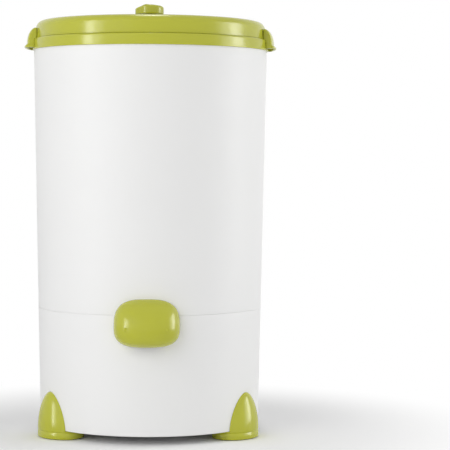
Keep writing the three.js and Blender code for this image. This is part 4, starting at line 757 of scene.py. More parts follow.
bell_upper = turned("motor-bell-upper", rounded([
    (0.059, 0.1403, 0.0004), (motor_radius, 0.1403, 0.0004), (motor_radius, 0.1497, 0.002),
    (0.024, 0.1497, 0.0015), (0.024, 0.1737, 0.001), (bearing_pocket, 0.1737, 0.0005),
    (bearing_pocket, 0.1577, 0.0005), (0.009, 0.1577, 0.0005), (0.009, 0.146, 0.0005),
    (0.059, 0.146, 0.001)]), 96)
stand_for(bell_upper, "cabinet", "cast_metal", "motor_bell_upper")
bell_lower = turned("motor-bell-lower", rounded([
    (0.059, 0.0797, 0.0004), (0.059, 0.074, 0.001), (0.009, 0.074, 0.0005), (0.009, 0.0716, 0.0005),
    (bearing_pocket, 0.0716, 0.0005), (bearing_pocket, 0.0563, 0.0005), (0.022, 0.0563, 0.001),
    (0.022, 0.0703, 0.0015), (motor_radius, 0.0703, 0.002), (motor_radius, 0.0797, 0.0004)]), 96)
stand_for(bell_lower, "cabinet", "cast_metal", "motor_bell_lower")

for name, outer, inner, body in (
        ("stator", motor_radius, 0.0364, "cabinet"), ("rotor", 0.0354, shaft_bore, "spinner")):
    low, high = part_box(name)
    ring = turned(name + "-stack", band(inner, outer, low.z, high.z, 0.0004, 0.0006, 3), 96)
    for i in range(4):
        seam_tool = block(
            "weld groove", (-0.0015, -outer - 0.001, low.z - 0.001),
            (0.0015, -outer + 0.0008, high.z + 0.001))
        combine(ring, turned_to(seam_tool, 45 + 90 * i))
    stand_for(ring, body, "laminated_iron", name)

for name in ("upper", "lower"):
    low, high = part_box("bearing_" + name)
    bearing = turned("bearing-" + name, rounded([
        (shaft_bore, low.z, 0.0005), (0.0098, low.z, 0.0002), (0.0102, low.z + 0.0007, 0.0002),
        (0.0144, low.z + 0.0007, 0.0002), (0.0148, low.z, 0.0002), (0.017, low.z, 0.0007),
        (0.017, high.z, 0.0007), (0.0148, high.z, 0.0002), (0.0144, high.z - 0.0007, 0.0002),
        (0.0102, high.z - 0.0007, 0.0002), (0.0098, high.z, 0.0002), (shaft_bore, high.z, 0.0005)], 3), 96)
    stand_for(bearing, "cabinet", "steel", "bearing_" + name)

fan_low, fan_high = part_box("cooling_fan")
fan = turned("cooling-fan", band(shaft_bore, 0.012, fan_low.z, fan_high.z, 0.0004, 0.001), 64)
for turn in range(90, 450, 60):
    blade = slab(
        "blade", (-0.001, -fan_high.x, fan_low.z + 0.0002), (0.001, -0.0105, fan_high.z - 0.0002), 0.0003)
    combine(fan, turned_to(blade, turn), "UNION")
stand_for(fan, "spinner", "black_plastic", "cooling_fan")

# ---------------------------------------------------------------- brake
# A cast drum turns with the shaft. A zinc-plated arm on a pivot presses a friction pad against it, a coil
# spring holds it there, and a cable from the lock lets it go.
finishes["friction_pad"] = plastic(
    "friction compound", (0.07, 0.045, 0.033), 0.30, 0.2, (0.78, 0.92), 420.0, 0.0002, 0.9)
brake_drum = turned("brake-drum", rounded([
    (shaft_bore, 0.028, 0.0005), (0.012, 0.028, 0.0008), (0.012, 0.038, 0.0012), (0.027, 0.038, 0.0012),
    (0.027, 0.028, 0.0006), (0.030, 0.028, 0.0006), (0.030, 0.042, 0.0012), (shaft_bore, 0.042, 0.0005)]), 96)
stand_for(brake_drum, "spinner", "cast_metal", "brake_drum")

pivot_x, pivot_y = 0.042, -0.049
arm_left, arm_right = 0.0368, 0.0433
arm_low, arm_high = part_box("brake_arm")
brake_arm = slab(
    "brake-arm", (arm_left, arm_low.y, arm_low.z), (arm_right, arm_high.y, arm_high.z), 0.0008)
combine(brake_arm, spun(
    "eye", [(0.0062, 0), (0.007, 0.1), (0.007, 0.9), (0.0062, 1)], (pivot_x, pivot_y, arm_low.z),
    (pivot_x, pivot_y, arm_high.z)), "UNION")
combine(brake_arm, post(stud_bore, pivot_x, pivot_y, arm_low.z - 0.002, arm_high.z + 0.002))
stand_for(brake_arm, "brake", "steel", "brake_arm")
lining_low, lining_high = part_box("brake_lining")
lining = slab("brake-lining", (0.024, lining_low.y, lining_low.z), tuple(lining_high))
combine(lining, post(0.0305, 0, 0, lining_low.z - 0.002, lining_high.z + 0.002, fine_sides))
stand_for(lining, "brake", "friction_pad", "brake_lining")
dress("brake_pivot", "steel")
dress("brake_spring", "steel")
dress("brake_cable", "black_plastic")

# ---------------------------------------------------------------- capacitor
# The motor's capacitor is a grey plastic can with a rolled edge and one raised terminal block. A
# zinc-plated clip holds it upright on the base.
finishes["grey_plastic"] = plastic(
    "grey plastic", (0.33, 0.34, 0.33), 0.03, 0.1, (0.38, 0.50), 800.0, 0.00005)
can_low, can_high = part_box("capacitor")
can_x, can_y = (can_low.x + can_high.x) / 2, (can_low.y + can_high.y) / 2
capacitor = spun("capacitor-can", [
    (0.0185, 0), (0.020, 0.02), (0.020, 0.872), (0.0196, 0.89), (0.0185, 0.9), (0.0180, 0.885),
    (0.0041, 0.885), (0.0040, 0.985), (0.0034, 1)], (can_x, can_y, can_low.z), (can_x, can_y, can_high.z), 96)
stand_for(capacitor, "cabinet", "grey_plastic", "capacitor")
dress("capacitor_clip", "steel")

# ---------------------------------------------------------------- upper cabinet
# The upper shell is a tapered tube of the same white plastic. It stands on the base shell's lip, and its
# rim is gripped by a groove in the green ring.
upper_cabinet = turned("upper-cabinet", rounded([
    (wall_radius(cabinet_low.z), cabinet_low.z, 0.0004),
    (wall_radius(cabinet_high.z), cabinet_high.z, 0.0005),
    (wall_radius(cabinet_high.z) - cabinet_wall, cabinet_high.z, 0.0005),
    (wall_radius(cabinet_low.z) - cabinet_wall, cabinet_low.z, 0.0003),
]))
stand_for(upper_cabinet, "cabinet", "white_plastic", "upper_cabinet")

# ---------------------------------------------------------------- green ring
# A ring of solid green plastic closes the cabinet. It grips the cabinet's rim, carries the lid's hinge
# between two ears at the back, and has a notch in its front skirt that the latch bolt shoots into.
ring_radius = 0.1842
ring_top = shoulder_height + 0.017
ring_mouth = 0.1615
ring_edge = 0.003
lid_radius = ring_radius - 0.0044
deck_underside = ring_top - 0.003
skirt_radius = ring_mouth + 0.0028
skirt_bottom = shoulder_height - 0.0067
spigot_radius = 0.1772
spigot_bottom = shoulder_height - 0.007
socket_top = shoulder_height + rim_socket
socket_radius = wall_radius(socket_top) + fit
hinge_y = ring_radius + 0.0148
hinge_height = ring_top + 0.005
ear_radius = 0.0082
knuckle_half = 0.017
ear_width = 0.0055
pin_radius = 0.0025
bolt_low, bolt_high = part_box("latch_bolt")
bolt_half = 0.008

top_ring = turned("top-ring", rounded([
    (ring_radius, shoulder_height, 0.0006),
    (ring_radius, ring_top, ring_edge),
    (ring_mouth, ring_top, 0.0015),
    (ring_mouth, skirt_bottom, 0.0006),
    (skirt_radius, skirt_bottom, 0.0006),
    (skirt_radius, deck_underside, 0.0006),
    (spigot_radius, deck_underside, 0.0006),
    (spigot_radius, spigot_bottom, 0.0004),
    (spigot_radius + 0.002, spigot_bottom, 0.0004),
    (spigot_radius + 0.002, socket_top, 0),
    (socket_radius, socket_top, 0),
    (socket_radius, shoulder_height, 0.0003),
]))
for side in (-1, 1):
    near, far = side * (knuckle_half + fit), side * (knuckle_half + fit + ear_width)
    outline = [(ring_radius - 0.003, shoulder_height + 0.003), (ring_radius + 0.008, shoulder_height + 0.003)]
    outline += arc((hinge_y, hinge_height), (ear_radius, ear_radius), -28, 162, 32)
    outline.append((ring_radius - 0.003, ring_top - 0.0005))
    middle_y = sum(point[0] for point in outline) / len(outline)
    middle_z = sum(point[1] for point in outline) / len(outline)
    rings = []
    for share, shrink in ((0, 0.93), (0.04, 0.97), (0.12, 1), (0.88, 1), (0.96, 0.97), (1, 0.93)):
        x = near + (far - near) * share
        rings.append([
            (x, middle_y + (y - middle_y) * shrink, middle_z + (z - middle_z) * shrink) for y, z in outline])
    combine(top_ring, lofted("ear", rings), "UNION")
pin_reach = knuckle_half + fit + ear_width + 0.002
combine(top_ring, rod(
    "pin hole", pin_radius + fit, (-pin_reach, hinge_y, hinge_height), (pin_reach, hinge_y, hinge_height)))
combine(top_ring, block(
    "bolt notch", (-bolt_half - 0.001, -skirt_radius - 0.002, skirt_bottom - 0.002),
    (bolt_half + 0.001, -ring_mouth + 0.002, bolt_low.z + 0.006)))
hook_height = deck_underside - 0.003
hook_turn = 12
for side in (-90, 90):
    for turn in (side - hook_turn, side + hook_turn):
        combine(top_ring, turned_to(block(
            "hook slot", (-0.0025, -ring_radius - 0.002, hook_height - 0.0018),
            (0.0025, -ring_radius + 0.0025, hook_height + 0.0018)), turn))
stand_for(top_ring, "cabinet", "green_plastic", "top_ring")

# ---------------------------------------------------------------- tub, collar and drain
# A grey plastic tub stands on the base shell's shelf and catches the water. A white collar, sealed by a
# rubber ring, clamps it under the green ring, and a bent pipe leads from its floor into the hood.
tub = turned("inner-tub", rounded([
    (0.040, 0.1993, 0.0012), (0.159, 0.1993, 0.006), (0.159, 0.581, 0.0015), (0.165, 0.581, 0.0008),
    (0.165, 0.584, 0.0008), (0.156, 0.584, 0.0015), (0.156, 0.203, 0.004), (0.040, 0.203, 0.0012)]))
outlet_y = -0.132
combine(tub, post(0.0093, 0, outlet_y, 0.196, 0.206))
stand_for(tub, "cabinet", "grey_plastic", "inner_tub")
collar = turned("splash-collar", rounded([
    (0.1643, 0.5843, 0.0006), (0.1643, 0.5863, 0.0006), (0.154, 0.5863, 0.002), (0.124, 0.5723, 0.001),
    (0.122, 0.5703, 0.0008), (0.122, 0.5663, 0.0008), (0.124, 0.5663, 0.0008), (0.126, 0.5703, 0.001),
    (0.153, 0.5843, 0.002)]))
stand_for(collar, "cabinet", "white_plastic", "splash_collar")
gasket = turned("tub-gasket", band(0.160, 0.1643, 0.5866, 0.589, 0.0009, 0.0009))
stand_for(gasket, "cabinet", "rubber", "tub_gasket")

pipe_radius, pipe_bore = 0.009, 0.007
pipe_low, pipe_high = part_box("drain_pipe")
pipe_line = [Vector((outlet_y, pipe_high.z - 0.0127 * step / 4)) for step in range(4)]
bend_start, bend_end = Vector((outlet_y, pipe_height + 0.012)), Vector((outlet_y - 0.012, pipe_height))
bend_corner = Vector((outlet_y, pipe_height))
for step in range(13):
    share = step / 12
    pipe_line.append(bend_start.lerp(bend_corner, share).lerp(bend_corner.lerp(bend_end, share), share))
mouth = Vector((pipe_low.y, pipe_height - pipe_fall))
pipe_line += [bend_end.lerp(mouth, step / 4) for step in range(1, 5)]
rings = []
last = len(pipe_line) - 1
for radius, order in ((pipe_radius, range(last + 1)), (pipe_bore, range(last, -1, -1))):
    for i in order:
        along = (pipe_line[min(i + 1, last)] - pipe_line[max(i - 1, 0)]).normalized()
        if i == last:
            along = Vector((-1, 0))
        rings.append([
            (radius * math.cos(angle), pipe_line[i].x - along.y * radius * math.sin(angle),
             pipe_line[i].y + along.x * radius * math.sin(angle))
            for angle in full_turn(48)])
pipe = lofted("drain-pipe", rings, closed=True, sharp=50)
flange = turned("flange", band(0.008, 0.014, 0.1965, 0.199, 0, 0.0006), 64)
combine(pipe, shifted(flange, 0, outlet_y), "UNION", 50)
stand_for(pipe, "cabinet", "grey_plastic", "drain_pipe")

# ---------------------------------------------------------------- shaft seal
# A folded rubber bellows closes the gap between the tub's floor and the motor, which swings on its mounts.
seal = turned("shaft-seal", rounded([
    (0.046, 0.2033, 0.0008), (0.0397, 0.2033, 0.0006), (0.0397, 0.1948, 0.002), (0.0335, 0.1876, 0.002),
    (0.0279, 0.184, 0.002), (0.0279, 0.1677, 0.0008), (0.0243, 0.1677, 0.0008), (0.0243, 0.1866, 0.0015),
    (0.0322, 0.1889, 0.002), (0.0371, 0.1961, 0.002), (0.0371, 0.2053, 0.0008), (0.046, 0.2053, 0.0008)]), 96)
stand_for(seal, "cabinet", "rubber", "shaft_seal")

# ---------------------------------------------------------------- drum
# The basket is rolled stainless sheet, perforated all round, with a turned-in mouth. A cast hub under its
# floor and a steel nut above fix it to the shaft, which runs down through the motor.
finishes["drum_steel"] = metal(
    "rolled stainless", (0.60, 0.61, 0.62), (0.50, 0.51, 0.52), (0.22, 0.34), 700.0, 0.00002)
drum = turned("drum-basket", rounded([
    (0.0103, 0.232, 0.0003), (0.128, 0.232, 0.006), (0.140, 0.244, 0.006), (0.140, 0.548, 0.004),
    (0.121, 0.560, 0.0015), (0.118, 0.560, 0.0004), (0.118, 0.5585, 0.0004), (0.1206, 0.5585, 0.001),
    (0.1385, 0.54725, 0.003), (0.1385, 0.24475, 0.005), (0.12725, 0.2335, 0.005), (0.0103, 0.2335, 0.0003)]))
hole_radius, hole_sides, hole_columns, hole_rows = 0.0026, 12, 40, 13
first_row, hole_pitch = 0.264, 0.022
points, faces = [], []
for row in range(hole_rows):
    for column in range(hole_columns):
        turn = 2 * math.pi * (column + 0.5 * (row % 2)) / hole_columns
        away = Vector((math.sin(turn), -math.cos(turn), 0))
        side = Vector((math.cos(turn), math.sin(turn), 0))
        centre = Vector((0, 0, first_row + hole_pitch * row))
        first = len(points)
        second = first + hole_sides
        for reach in (0.134, 0.144):
            points += [
                centre + away * reach + side * hole_radius * math.cos(angle)
                + Vector((0, 0, hole_radius * math.sin(angle))) for angle in full_turn(hole_sides)]
        for k in range(hole_sides):
            beside = (k + 1) % hole_sides
            faces.append([first + k, first + beside, second + beside, second + k])
        faces += [list(range(second - 1, first - 1, -1)), list(range(second, second + hole_sides))]
combine(drum, mesh_piece("perforation", points, faces))
stand_for(drum, "spinner", "drum_steel", "drum")
hub = turned("drum-hub", rounded([
    (shaft_bore, 0.2177, 0.0006), (0.016, 0.2177, 0.001), (0.020, 0.2237, 0.002), (0.048, 0.2287, 0.001),
    (0.048, 0.2317, 0.0006), (0.010, 0.2317, 0.0002), (0.010, 0.2335, 0.0003),
    (shaft_bore, 0.2335, 0.0003)]), 96)
stand_for(hub, "spinner", "cast_metal", "drum_hub")
nut_low, nut_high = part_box("drum_nut")
nut = turned("drum-nut", rounded([
    (shaft_bore, nut_low.z, 0), (0.018, nut_low.z, 0.0006), (0.018, nut_low.z + 0.003, 0.001),
    (shaft_bore, nut_low.z + 0.003, 0)]), 96)
nut_radius, nut_sides = 0.0120, 72
flat_turn = math.pi / 6
flat_distance = nut_radius * math.cos(flat_turn)
rings = []
for height, limit in (
        (nut_low.z + 0.0015, 1), (nut_high.z - 0.0012, nut_radius), (nut_high.z - 0.0006, 0.0115),
        (nut_high.z, 0.0104)):
    ring = []
    for angle in full_turn(nut_sides):
        hexagon = flat_distance / math.cos((angle + flat_turn) % (2 * flat_turn) - flat_turn)
        ring.append((min(hexagon, limit) * math.cos(angle), min(hexagon, limit) * math.sin(angle), height))
    rings.append(ring)
for height in (nut_high.z, nut_low.z + 0.0015):
    rings.append(round_ring(shaft_bore, height, nut_sides))
combine(nut, lofted("hexagon", rings, closed=True, sharp=25), "UNION", 25)
stand_for(nut, "spinner", "steel", "drum_nut")
shaft_low, shaft_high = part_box("drum_shaft")
shaft_radius, thread_root, thread_pitch = 0.007, 0.0066, 0.008
shaft_profile = [(0.0060, 0), (shaft_radius, 0.005), (shaft_radius, 0.94)]
for groove in range(6):
    shaft_profile += [
        (shaft_radius, 0.945 + thread_pitch * groove), (thread_root, 0.949 + thread_pitch * groove)]
shaft_profile += [(shaft_radius, 0.993), (0.0062, 1)]
shaft = spun("drum-shaft", shaft_profile, (0, 0, shaft_low.z), (0, 0, shaft_high.z))
stand_for(shaft, "spinner", "steel", "drum_shaft")

# ---------------------------------------------------------------- carrying handles
# Each handle is a bowed green channel hooked into the ring. It hugs the lid's wall, curves outwards over
# the ring and ends in a flared lip, behind which the fingers grip. End walls close the channel.
handle_half_turn = math.radians(14)
handle_inner = lid_radius + 0.0005
handle_waist = 0.1936
handle_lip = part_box("handle_right")[1].x
handle_top = ring_top + 0.0165
handle_bottom = ring_top - 0.0143
waist_height = handle_bottom + 0.0057
handle_wall = 0.0022
lip_wall = 0.0026
handle_stand = ring_top + fit
handle_root = ring_radius + fit
end_rounding = 0.17
channel_share = 0.61


def handle_arc(inset, start, end, steps):
    """Points of the handle's section, a quarter ellipse between its top and its waist."""
    reach = (handle_waist - handle_inner - inset, handle_top - waist_height - inset)
    return arc((handle_inner, waist_height), reach, start, end, steps)


def handle_body(name, section, reach, steps):
    """A section swept along the ring. Its edges are rounded where it ends in a flat wall."""
    rings = []
    for step in range(steps + 1):
        along = reach * (2 * step / steps - 1)
        turn = math.sin(along * math.pi / 2)
        angle = handle_half_turn * turn
        edge = max(0, abs(turn) - 0.9) / 0.1
        shrink = 1 - end_rounding * (1 - (1 - edge * edge) ** 0.5)
        sink = (1 - shrink) * 0.6
        ring = []
        for radius, z in section:
            moved = handle_root + (radius - handle_root) * shrink if radius > handle_root else radius
            lowered = handle_stand + (z - handle_stand) * (1 - sink) if z > handle_stand else z
            ring.append((moved * math.sin(angle), -moved * math.cos(angle), lowered))
        rings.append(ring)
    return lofted(name, rings)


outer_section = [
    (handle_inner, handle_stand), (handle_inner, handle_top - 0.0012),
    (handle_inner + 0.0004, handle_top - 0.0003)]
outer_section += handle_arc(0, 85, 6, 22)
for share in (0, 0.15, 0.3, 0.45, 0.6, 0.75, 0.9, 1):
    bend = share * share * (3 - 2 * share)
    outer_section.append((
        handle_waist - 0.0001 + (handle_lip - handle_waist) * bend,
        waist_height + 0.0006 - (waist_height + 0.0006 - handle_bottom - 0.0022) * share))
half_lip = lip_wall / 2
outer_section += arc((handle_lip - half_lip, handle_bottom + half_lip), (half_lip, half_lip), 0, -90, 4)
ring_side = [
    (handle_root, handle_bottom), (handle_root, ring_top - ring_edge),
    (handle_root - 0.0009, ring_top - 0.0008), (ring_radius - ring_edge, handle_stand)]
outer_section += ring_side
channel_section = [
    (handle_root - 0.002, handle_bottom - 0.004), (handle_lip - lip_wall, handle_bottom - 0.004),
    (handle_lip - lip_wall, handle_bottom), *handle_arc(handle_wall, 2, 45, 10),
    (handle_root - 0.002, handle_stand + handle_wall)]
ring_wall = [
    (0, handle_bottom - 0.004), (handle_root, handle_bottom - 0.004), *ring_side[1:], (0, handle_stand)]
for side, turn in (("left", -90), ("right", 90)):
    handle = handle_body("handle-" + side, outer_section, 1, 64)
    combine(handle, handle_body("channel", channel_section, channel_share, 32))
    combine(handle, turned("ring wall", ring_wall))
    for end in (-hook_turn, hook_turn):
        hook = block(
            "hook", (-handle_wall, -ring_radius - handle_wall, hook_height - 0.0015),
            (handle_wall, -ring_radius + 0.0022, hook_height + 0.0015))
        combine(handle, turned_to(hook, end), "UNION")
    stand_for(turned_to(handle, turn), "cabinet", "green_plastic", "handle_" + side)

# ---------------------------------------------------------------- outlet hood
# The hood is one dome of green plastic hooked on the cabinet's wall over the seam. Water leaves through
# a slot in its underside. Its upper face slopes to the nose, and its sides are full and round.
hood_half_width = 0.0493
hood_bottom = 0.148
hood_nose = hood_bottom + 0.030
hood_top = hood_nose + 0.042
hood_reach = -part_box("spout_hood")[0].y - wall_radius(hood_nose)
hood_wall = 0.0025
hood_root = 0.022
outline_power, side_power, top_power, lower_power = 2.9, 2.7, 1.6, 2.5


def powered(value, power):
    """A signed share raised to two over a power, as in a superellipse."""
    return math.copysign(abs(value) ** (2 / power), value)


def arched(share, power):
    """The height of a superellipse's arch at a share of its width."""
    return (1 - abs(share) ** power) ** (1 / power)


def hood_dome(name, inset, levels=56, sides=72):
    """The hood's solid dome, drawn as level sections, made smaller by an inset."""
    back = -wall_radius(hood_nose) + hood_root
    rings = []
    for level in range(levels + 1):
        climb = math.radians(89.4) * (2 * level / levels - 1)
        height = powered(math.sin(climb), outline_power)
        room, power = hood_nose - hood_bottom - inset, lower_power
        if height > 0:
            room, power = hood_top - inset - hood_nose, top_power
        z = hood_nose + height * room
        half_width = (hood_half_width - inset) * arched(height, outline_power)
        depth = (hood_reach - inset) * arched(height, power)
        ring = []
        for side in range(sides + 1):
            angle = math.pi * (side / sides - 0.5)
            x = half_width * powered(math.sin(angle), side_power)
            wall = -math.sqrt(wall_radius(z) ** 2 - x * x)
            ring.append((x, wall - depth * powered(math.cos(angle), side_power), z))
        ring += [(half_width, back, z), (-half_width, back, z)]
        rings.append(ring)
    return lofted(name, rings)


hood = hood_dome("spout-hood", 0)
combine(hood, hood_dome("hollow", hood_wall))
combine(hood, block(
    "slot", (-0.022, -pipe_wall - 0.0125, hood_bottom - 0.002),
    (0.022, -pipe_wall + 0.015, hood_bottom + 0.012)))
combine(hood, turned("wall", [
    (0, hood_bottom - 0.015), (wall_radius(hood_bottom - 0.015) + fit, hood_bottom - 0.015),
    (wall_radius(seam_height) + fit, seam_height),
    (wall_radius(hood_top + 0.015) + fit, hood_top + 0.015), (0, hood_top + 0.015)]))
for x in (-hook_spacing, hook_spacing):
    combine(hood, block(
        "hook", (x - 0.002, -pipe_wall - 0.032, pipe_height - 0.0025),
        (x + 0.002, -pipe_wall + 0.0044, pipe_height + 0.0025)), "UNION")
stand_for(hood, "cabinet", "green_plastic", "spout_hood")

# ---------------------------------------------------------------- lid
# The lid is a green dome moulded with its knuckle in one piece. It carries the lock in the boss at its
# middle, and closes over the ring with a fine dark gap.
lid_top_radius = lid_radius - 0.0006
lid_edge = ring_top + fit
lid_wall_top = ring_top + 0.0164
lid_fillet = 0.0115
lid_centre = lid_top_radius - lid_fillet
lid_shoulder = lid_wall_top + lid_fillet
lid_crown = lid_shoulder + 0.0050
lid_wall = 0.0024
boss_top = lid_crown + 0.0008
boss_foot = boss_top - 0.0135
boss_radius = 0.0165
boss_wall = 0.0034
knob_bore = 0.0063


def crown_height(radius):
    """The height of the lid's outer face inside its fillet."""
    return lid_shoulder + (lid_crown - lid_shoulder) * (1 - (radius / lid_centre) ** 2)


inner_fillet = lid_fillet - lid_wall
crown_steps = [radius / 1000 for radius in range(160, 16, -8)]
lid_shell = turned("lid-shell", [
    (lid_radius - 0.0006, lid_edge), (lid_radius - 0.0001, lid_edge + 0.0003),
    (lid_radius, lid_edge + 0.0009), (lid_radius - 0.0001, lid_edge + 0.004),
    (lid_radius - 0.0004, lid_edge + 0.009),
    *arc((lid_centre, lid_wall_top), (lid_fillet, lid_fillet), 0, 90, 16),
    *[(radius, crown_height(radius)) for radius in crown_steps],
    (boss_radius, crown_height(boss_radius)), (0.0150, boss_top - 0.0002), (0.0142, boss_top),
    (knob_bore, boss_top), (knob_bore, boss_foot), (knob_bore + boss_wall, boss_foot),
    (knob_bore + boss_wall, lid_crown - lid_wall - 0.001),
    (knob_bore + boss_wall + 0.001, lid_crown - lid_wall),
    *[(radius, crown_height(radius) - lid_wall) for radius in reversed(crown_steps)],
    *arc((lid_centre, lid_wall_top), (inner_fillet, inner_fillet), 90, 0, 16),
    (lid_radius - lid_wall, lid_edge + 0.009), (lid_radius - lid_wall, lid_edge)])
lid_screw_circle = 0.130
lid_screw_spots = [
    (lid_screw_circle * math.cos(math.radians(turn)), lid_screw_circle * math.sin(math.radians(turn)))
    for turn in thirds]
liner_low, liner_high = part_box("lid_liner")
screw_boss_foot = liner_low.z + 0.0028
for x, y in lid_screw_spots:
    screw_boss = post(0.005, x, y, screw_boss_foot, crown_height(lid_screw_circle) - 0.0012)
    combine(lid_shell, screw_boss, "UNION")
    combine(lid_shell, post(screw_bore, x, y, screw_boss_foot - 0.002, liner_low.z + 0.015))
combine(lid_shell, block(
    "arm", (-knuckle_half, lid_radius - lid_wall - 0.001, lid_edge),
    (knuckle_half, hinge_y, hinge_height + 0.005)), "UNION")
combine(lid_shell, rod(
    "knuckle", 0.006, (-knuckle_half, hinge_y, hinge_height), (knuckle_half, hinge_y, hinge_height),
    64), "UNION")
combine(lid_shell, rod(
    "pin hole", pin_radius + fit, (-pin_reach, hinge_y, hinge_height), (pin_reach, hinge_y, hinge_height)))
stand_for(lid_shell, "lid", "green_plastic", "lid_shell")

# ---------------------------------------------------------------- lid liner
# A white pan closes the lid from below and carries the latch bolt between two rails. Three screws hold it
# to the lid's bosses, and a rubber ring under its flange seals on the green ring.
liner_radius, liner_inner, pan_floor = 0.1585, 0.156, liner_low.z + 0.0025
liner = turned("lid-liner", rounded([
    (0, liner_low.z, 0), (liner_radius, liner_low.z, 0.0015), (liner_radius, liner_high.z - 0.0025, 0.001),
    (liner_high.x, liner_high.z - 0.0025, 0.0008), (liner_high.x, liner_high.z, 0.0008),
    (liner_inner, liner_high.z, 0.0015), (liner_inner, pan_floor, 0.001), (0, pan_floor, 0)]))
for radius in (0.052, 0.084, 0.116):
    combine(liner, turned("groove", [
        (radius, liner_low.z - 0.001), (radius + 0.003, liner_low.z - 0.001),
        (radius + 0.0022, liner_low.z + 0.0007), (radius + 0.0008, liner_low.z + 0.0007)]))
for side in (-1, 1):
    inner, outer = side * (bolt_half + fit), side * (bolt_half + fit + 0.003)
    combine(liner, slab(
        "rail", (min(inner, outer), -0.150, pan_floor - 0.001),
        (max(inner, outer), -0.030, pan_floor + 0.004)), "UNION")
combine(liner, block(
    "bolt slot", (-bolt_half - fit, -liner_radius - 0.002, pan_floor),
    (bolt_half + fit, -liner_inner + 0.002, bolt_low.z + 0.005 + fit)))
for i, (x, y) in enumerate(lid_screw_spots):
    combine(liner, post(screw_bore, x, y, liner_low.z - 0.002, pan_floor + 0.002))
    head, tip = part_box("lid_screw_%d" % (i + 1))
    screw = cross_screw("lid-screw-%d" % (i + 1), [
        (0.0026, 0), (0.0037, 0.04), (0.0040, 0.10), (0.0040, 0.147), (0.0018, 0.15), (0.0018, 0.95),
        (0.0010, 1)], (x, y), head.z, tip.z, 0.0022, 0.0012)
    stand_for(screw, "lid", "steel", "lid_screw_%d" % (i + 1))
stand_for(liner, "lid", "white_plastic", "lid_liner")
seal_low, seal_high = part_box("lid_gasket")
lid_gasket = turned("lid-gasket", rounded([
    (0.164, seal_high.z, 0.0003), (0.164, seal_low.z + 0.0009, 0.0003), (0.1652, seal_low.z, 0.0004),
    (0.1664, seal_low.z + 0.0012, 0.0003), (0.1686, seal_low.z + 0.0012, 0.0003),
    (0.1698, seal_low.z, 0.0004), (0.171, seal_low.z + 0.0009, 0.0003),
    (0.171, seal_high.z, 0.0003)], 3))
stand_for(lid_gasket, "lid", "rubber", "lid_gasket")

# ---------------------------------------------------------------- hinge pin
# A zinc-plated pin with a flat head at each end runs through the ring's ears and the lid's knuckle.
pin_low, pin_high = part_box("hinge_pin")
pin_head = 0.0040
pin = spun("hinge-pin", [
    (0.0034, 0), (pin_head, 0.012), (pin_head, 0.0303), (pin_radius, 0.0306), (pin_radius, 0.9694),
    (pin_head, 0.9697), (pin_head, 0.988), (0.0034, 1)],
    (pin_low.x, hinge_y, hinge_height), (pin_high.x, hinge_y, hinge_height))
stand_for(pin, "cabinet", "steel", "hinge_pin")

# ---------------------------------------------------------------- lock knob
# The knob is one green moulding: a round grip with a pointer, whose top slopes down to the rim and to
# the tip. It is pressed on the lock's shaft and turns a quarter turn above the lid.
knob_low, knob_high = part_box("lock_knob")
knob_under = boss_top + 0.0072
knob_radius = 0.0203
pointer_reach = -knob_low.x
pointer_half_turn = math.radians(38)
crest_x = -0.0085
crest_height = knob_high.z + 0.0001
crest_softness = 0.0006
fall_slope, rise_slope = 0.085, 0.40
tip_narrowing = 0.55
knob_sides = 144


def knob_top(x):
    """The height of the knob's upper face: a ramp up from the pointer's tip, then a gentle fall."""
    away = (x - crest_x) / crest_softness
    blend = math.exp(fall_slope * away) + math.exp(-rise_slope * away)
    return crest_height - crest_softness * math.log(blend)


def knob_ring(inset, height=None, drop=0.0, share=1.0):
    """A ring round the knob's plan, drawn in by an inset or a share, at a height or under its upper face."""
    ring = []
    for angle in full_turn(knob_sides):
        off = min(abs(angle - math.pi) / pointer_half_turn, 1)
        swell = (1 - off * off) ** 2
        narrowed = 1 - tip_narrowing * swell
        radius = (knob_radius + (pointer_reach - knob_radius) * swell - inset * narrowed) * share
        x = radius * math.cos(angle)
        z = knob_top(x) - drop * narrowed if height is None else height
        ring.append((x, radius * math.sin(angle), z))
    return ring


stem_radius = 0.009
rim_fillet, lower_fillet = 0.0044, 0.0012
rings = [round_ring(radius, height, knob_sides) for radius, height in (
    (stem_radius, boss_top + fit), (stem_radius, knob_under - 0.001), (stem_radius + 0.001, knob_under))]
for step in range(6):
    angle = math.pi / 2 * step / 5
    rings.append(knob_ring(
        lower_fillet * (1 - math.sin(angle)), height=knob_under + lower_fillet * (1 - math.cos(angle))))
for step in range(9):
    angle = math.pi / 2 * step / 8
    rings.append(knob_ring(rim_fillet * (1 - math.cos(angle)), drop=rim_fillet * (1 - math.sin(angle))))
for share in (0.93, 0.85, 0.75, 0.65, 0.55, 0.45, 0.35, 0.25, 0.15, 0.05, 0.005):
    rings.append(knob_ring(rim_fillet, share=share))
knob = lofted("lock-knob", rings, sharp=50)
combine(knob, post(knob_bore, 0, 0, boss_top - 0.002, knob_under + 0.0076), sharp=50)
stand_for(knob, "knob", "green_plastic", "lock_knob")

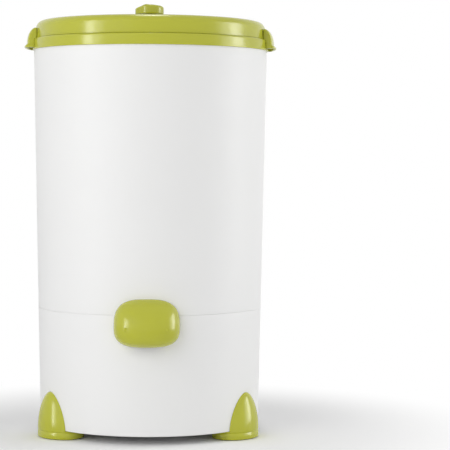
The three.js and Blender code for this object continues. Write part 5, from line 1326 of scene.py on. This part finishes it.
# ---------------------------------------------------------------- lock
# The knob's steel shaft turns a black cam with a spiral slot. The slot drives the pin of the zinc-plated
# latch bolt, which shoots out under the ring and presses the plunger of the black lid switch.
stem_low, stem_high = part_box("knob_shaft")
stem = spun("knob-shaft", [(0.0052, 0), (0.006, 0.014), (0.006, 0.986), (0.0052, 1)],
            (0, 0, stem_low.z), (0, 0, stem_high.z))
stand_for(stem, "knob", "steel", "knob_shaft")
cam_low, cam_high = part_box("lock_cam")
cam_radius = 0.034
cam = turned("lock-cam", band(knob_bore, cam_radius, cam_low.z, cam_high.z, 0.0003, 0.0007, 3), 96)
drive_radius, drive_rise, drive_half = 0.016, 0.007639, 0.0023
rings = []
for step in range(57):
    turn = math.radians(-11 + 112 * step / 56)
    angle, middle_radius = turn - math.pi / 2, drive_radius + drive_rise * turn
    rings.append([
        ((middle_radius + off) * math.cos(angle), (middle_radius + off) * math.sin(angle), z)
        for off, z in (
            (-drive_half, cam_low.z - 0.001), (drive_half, cam_low.z - 0.001),
            (drive_half, cam_high.z + 0.001), (-drive_half, cam_high.z + 0.001))])
combine(cam, lofted("spiral slot", rings))
stand_for(cam, "knob", "black_plastic", "lock_cam")
bolt = slab(
    "latch-bolt", (-bolt_half, bolt_low.y, bolt_low.z), (bolt_half, bolt_high.y, bolt_low.z + 0.005), 0.0006)
combine(bolt, spun(
    "pin", [(0.002, 0), (0.002, 0.96), (0.0016, 1)], (0, -drive_radius, bolt_low.z + 0.002),
    (0, -drive_radius, bolt_high.z)), "UNION")
stand_for(bolt, "bolt", "steel", "latch_bolt")
switch_low, switch_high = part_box("lid_switch")
plunger_height, rivet_height = 0.6063, 0.597
switch = slab("lid-switch", tuple(switch_low), tuple(switch_high), 0.0005)
for x, height, radius, depth, sides in (
        (0, plunger_height, 0.0023, 0.0044, 48), (-0.008, rivet_height, 0.0012, 0.001, 24),
        (0.008, rivet_height, 0.0012, 0.001, 24)):
    combine(switch, rod(
        "bore", radius, (x, switch_high.y - depth, height), (x, switch_high.y + 0.002, height), sides))
stand_for(switch, "cabinet", "black_plastic", "lid_switch")
plunger_low, plunger_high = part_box("switch_plunger")
plunger = spun("switch-plunger", [(0.002, 0), (0.002, 0.8), (0.0017, 0.93), (0.0010, 1)],
               (0, plunger_low.y, plunger_height), (0, plunger_high.y, plunger_height), 32)
stand_for(plunger, "plunger", "black_plastic", "switch_plunger")
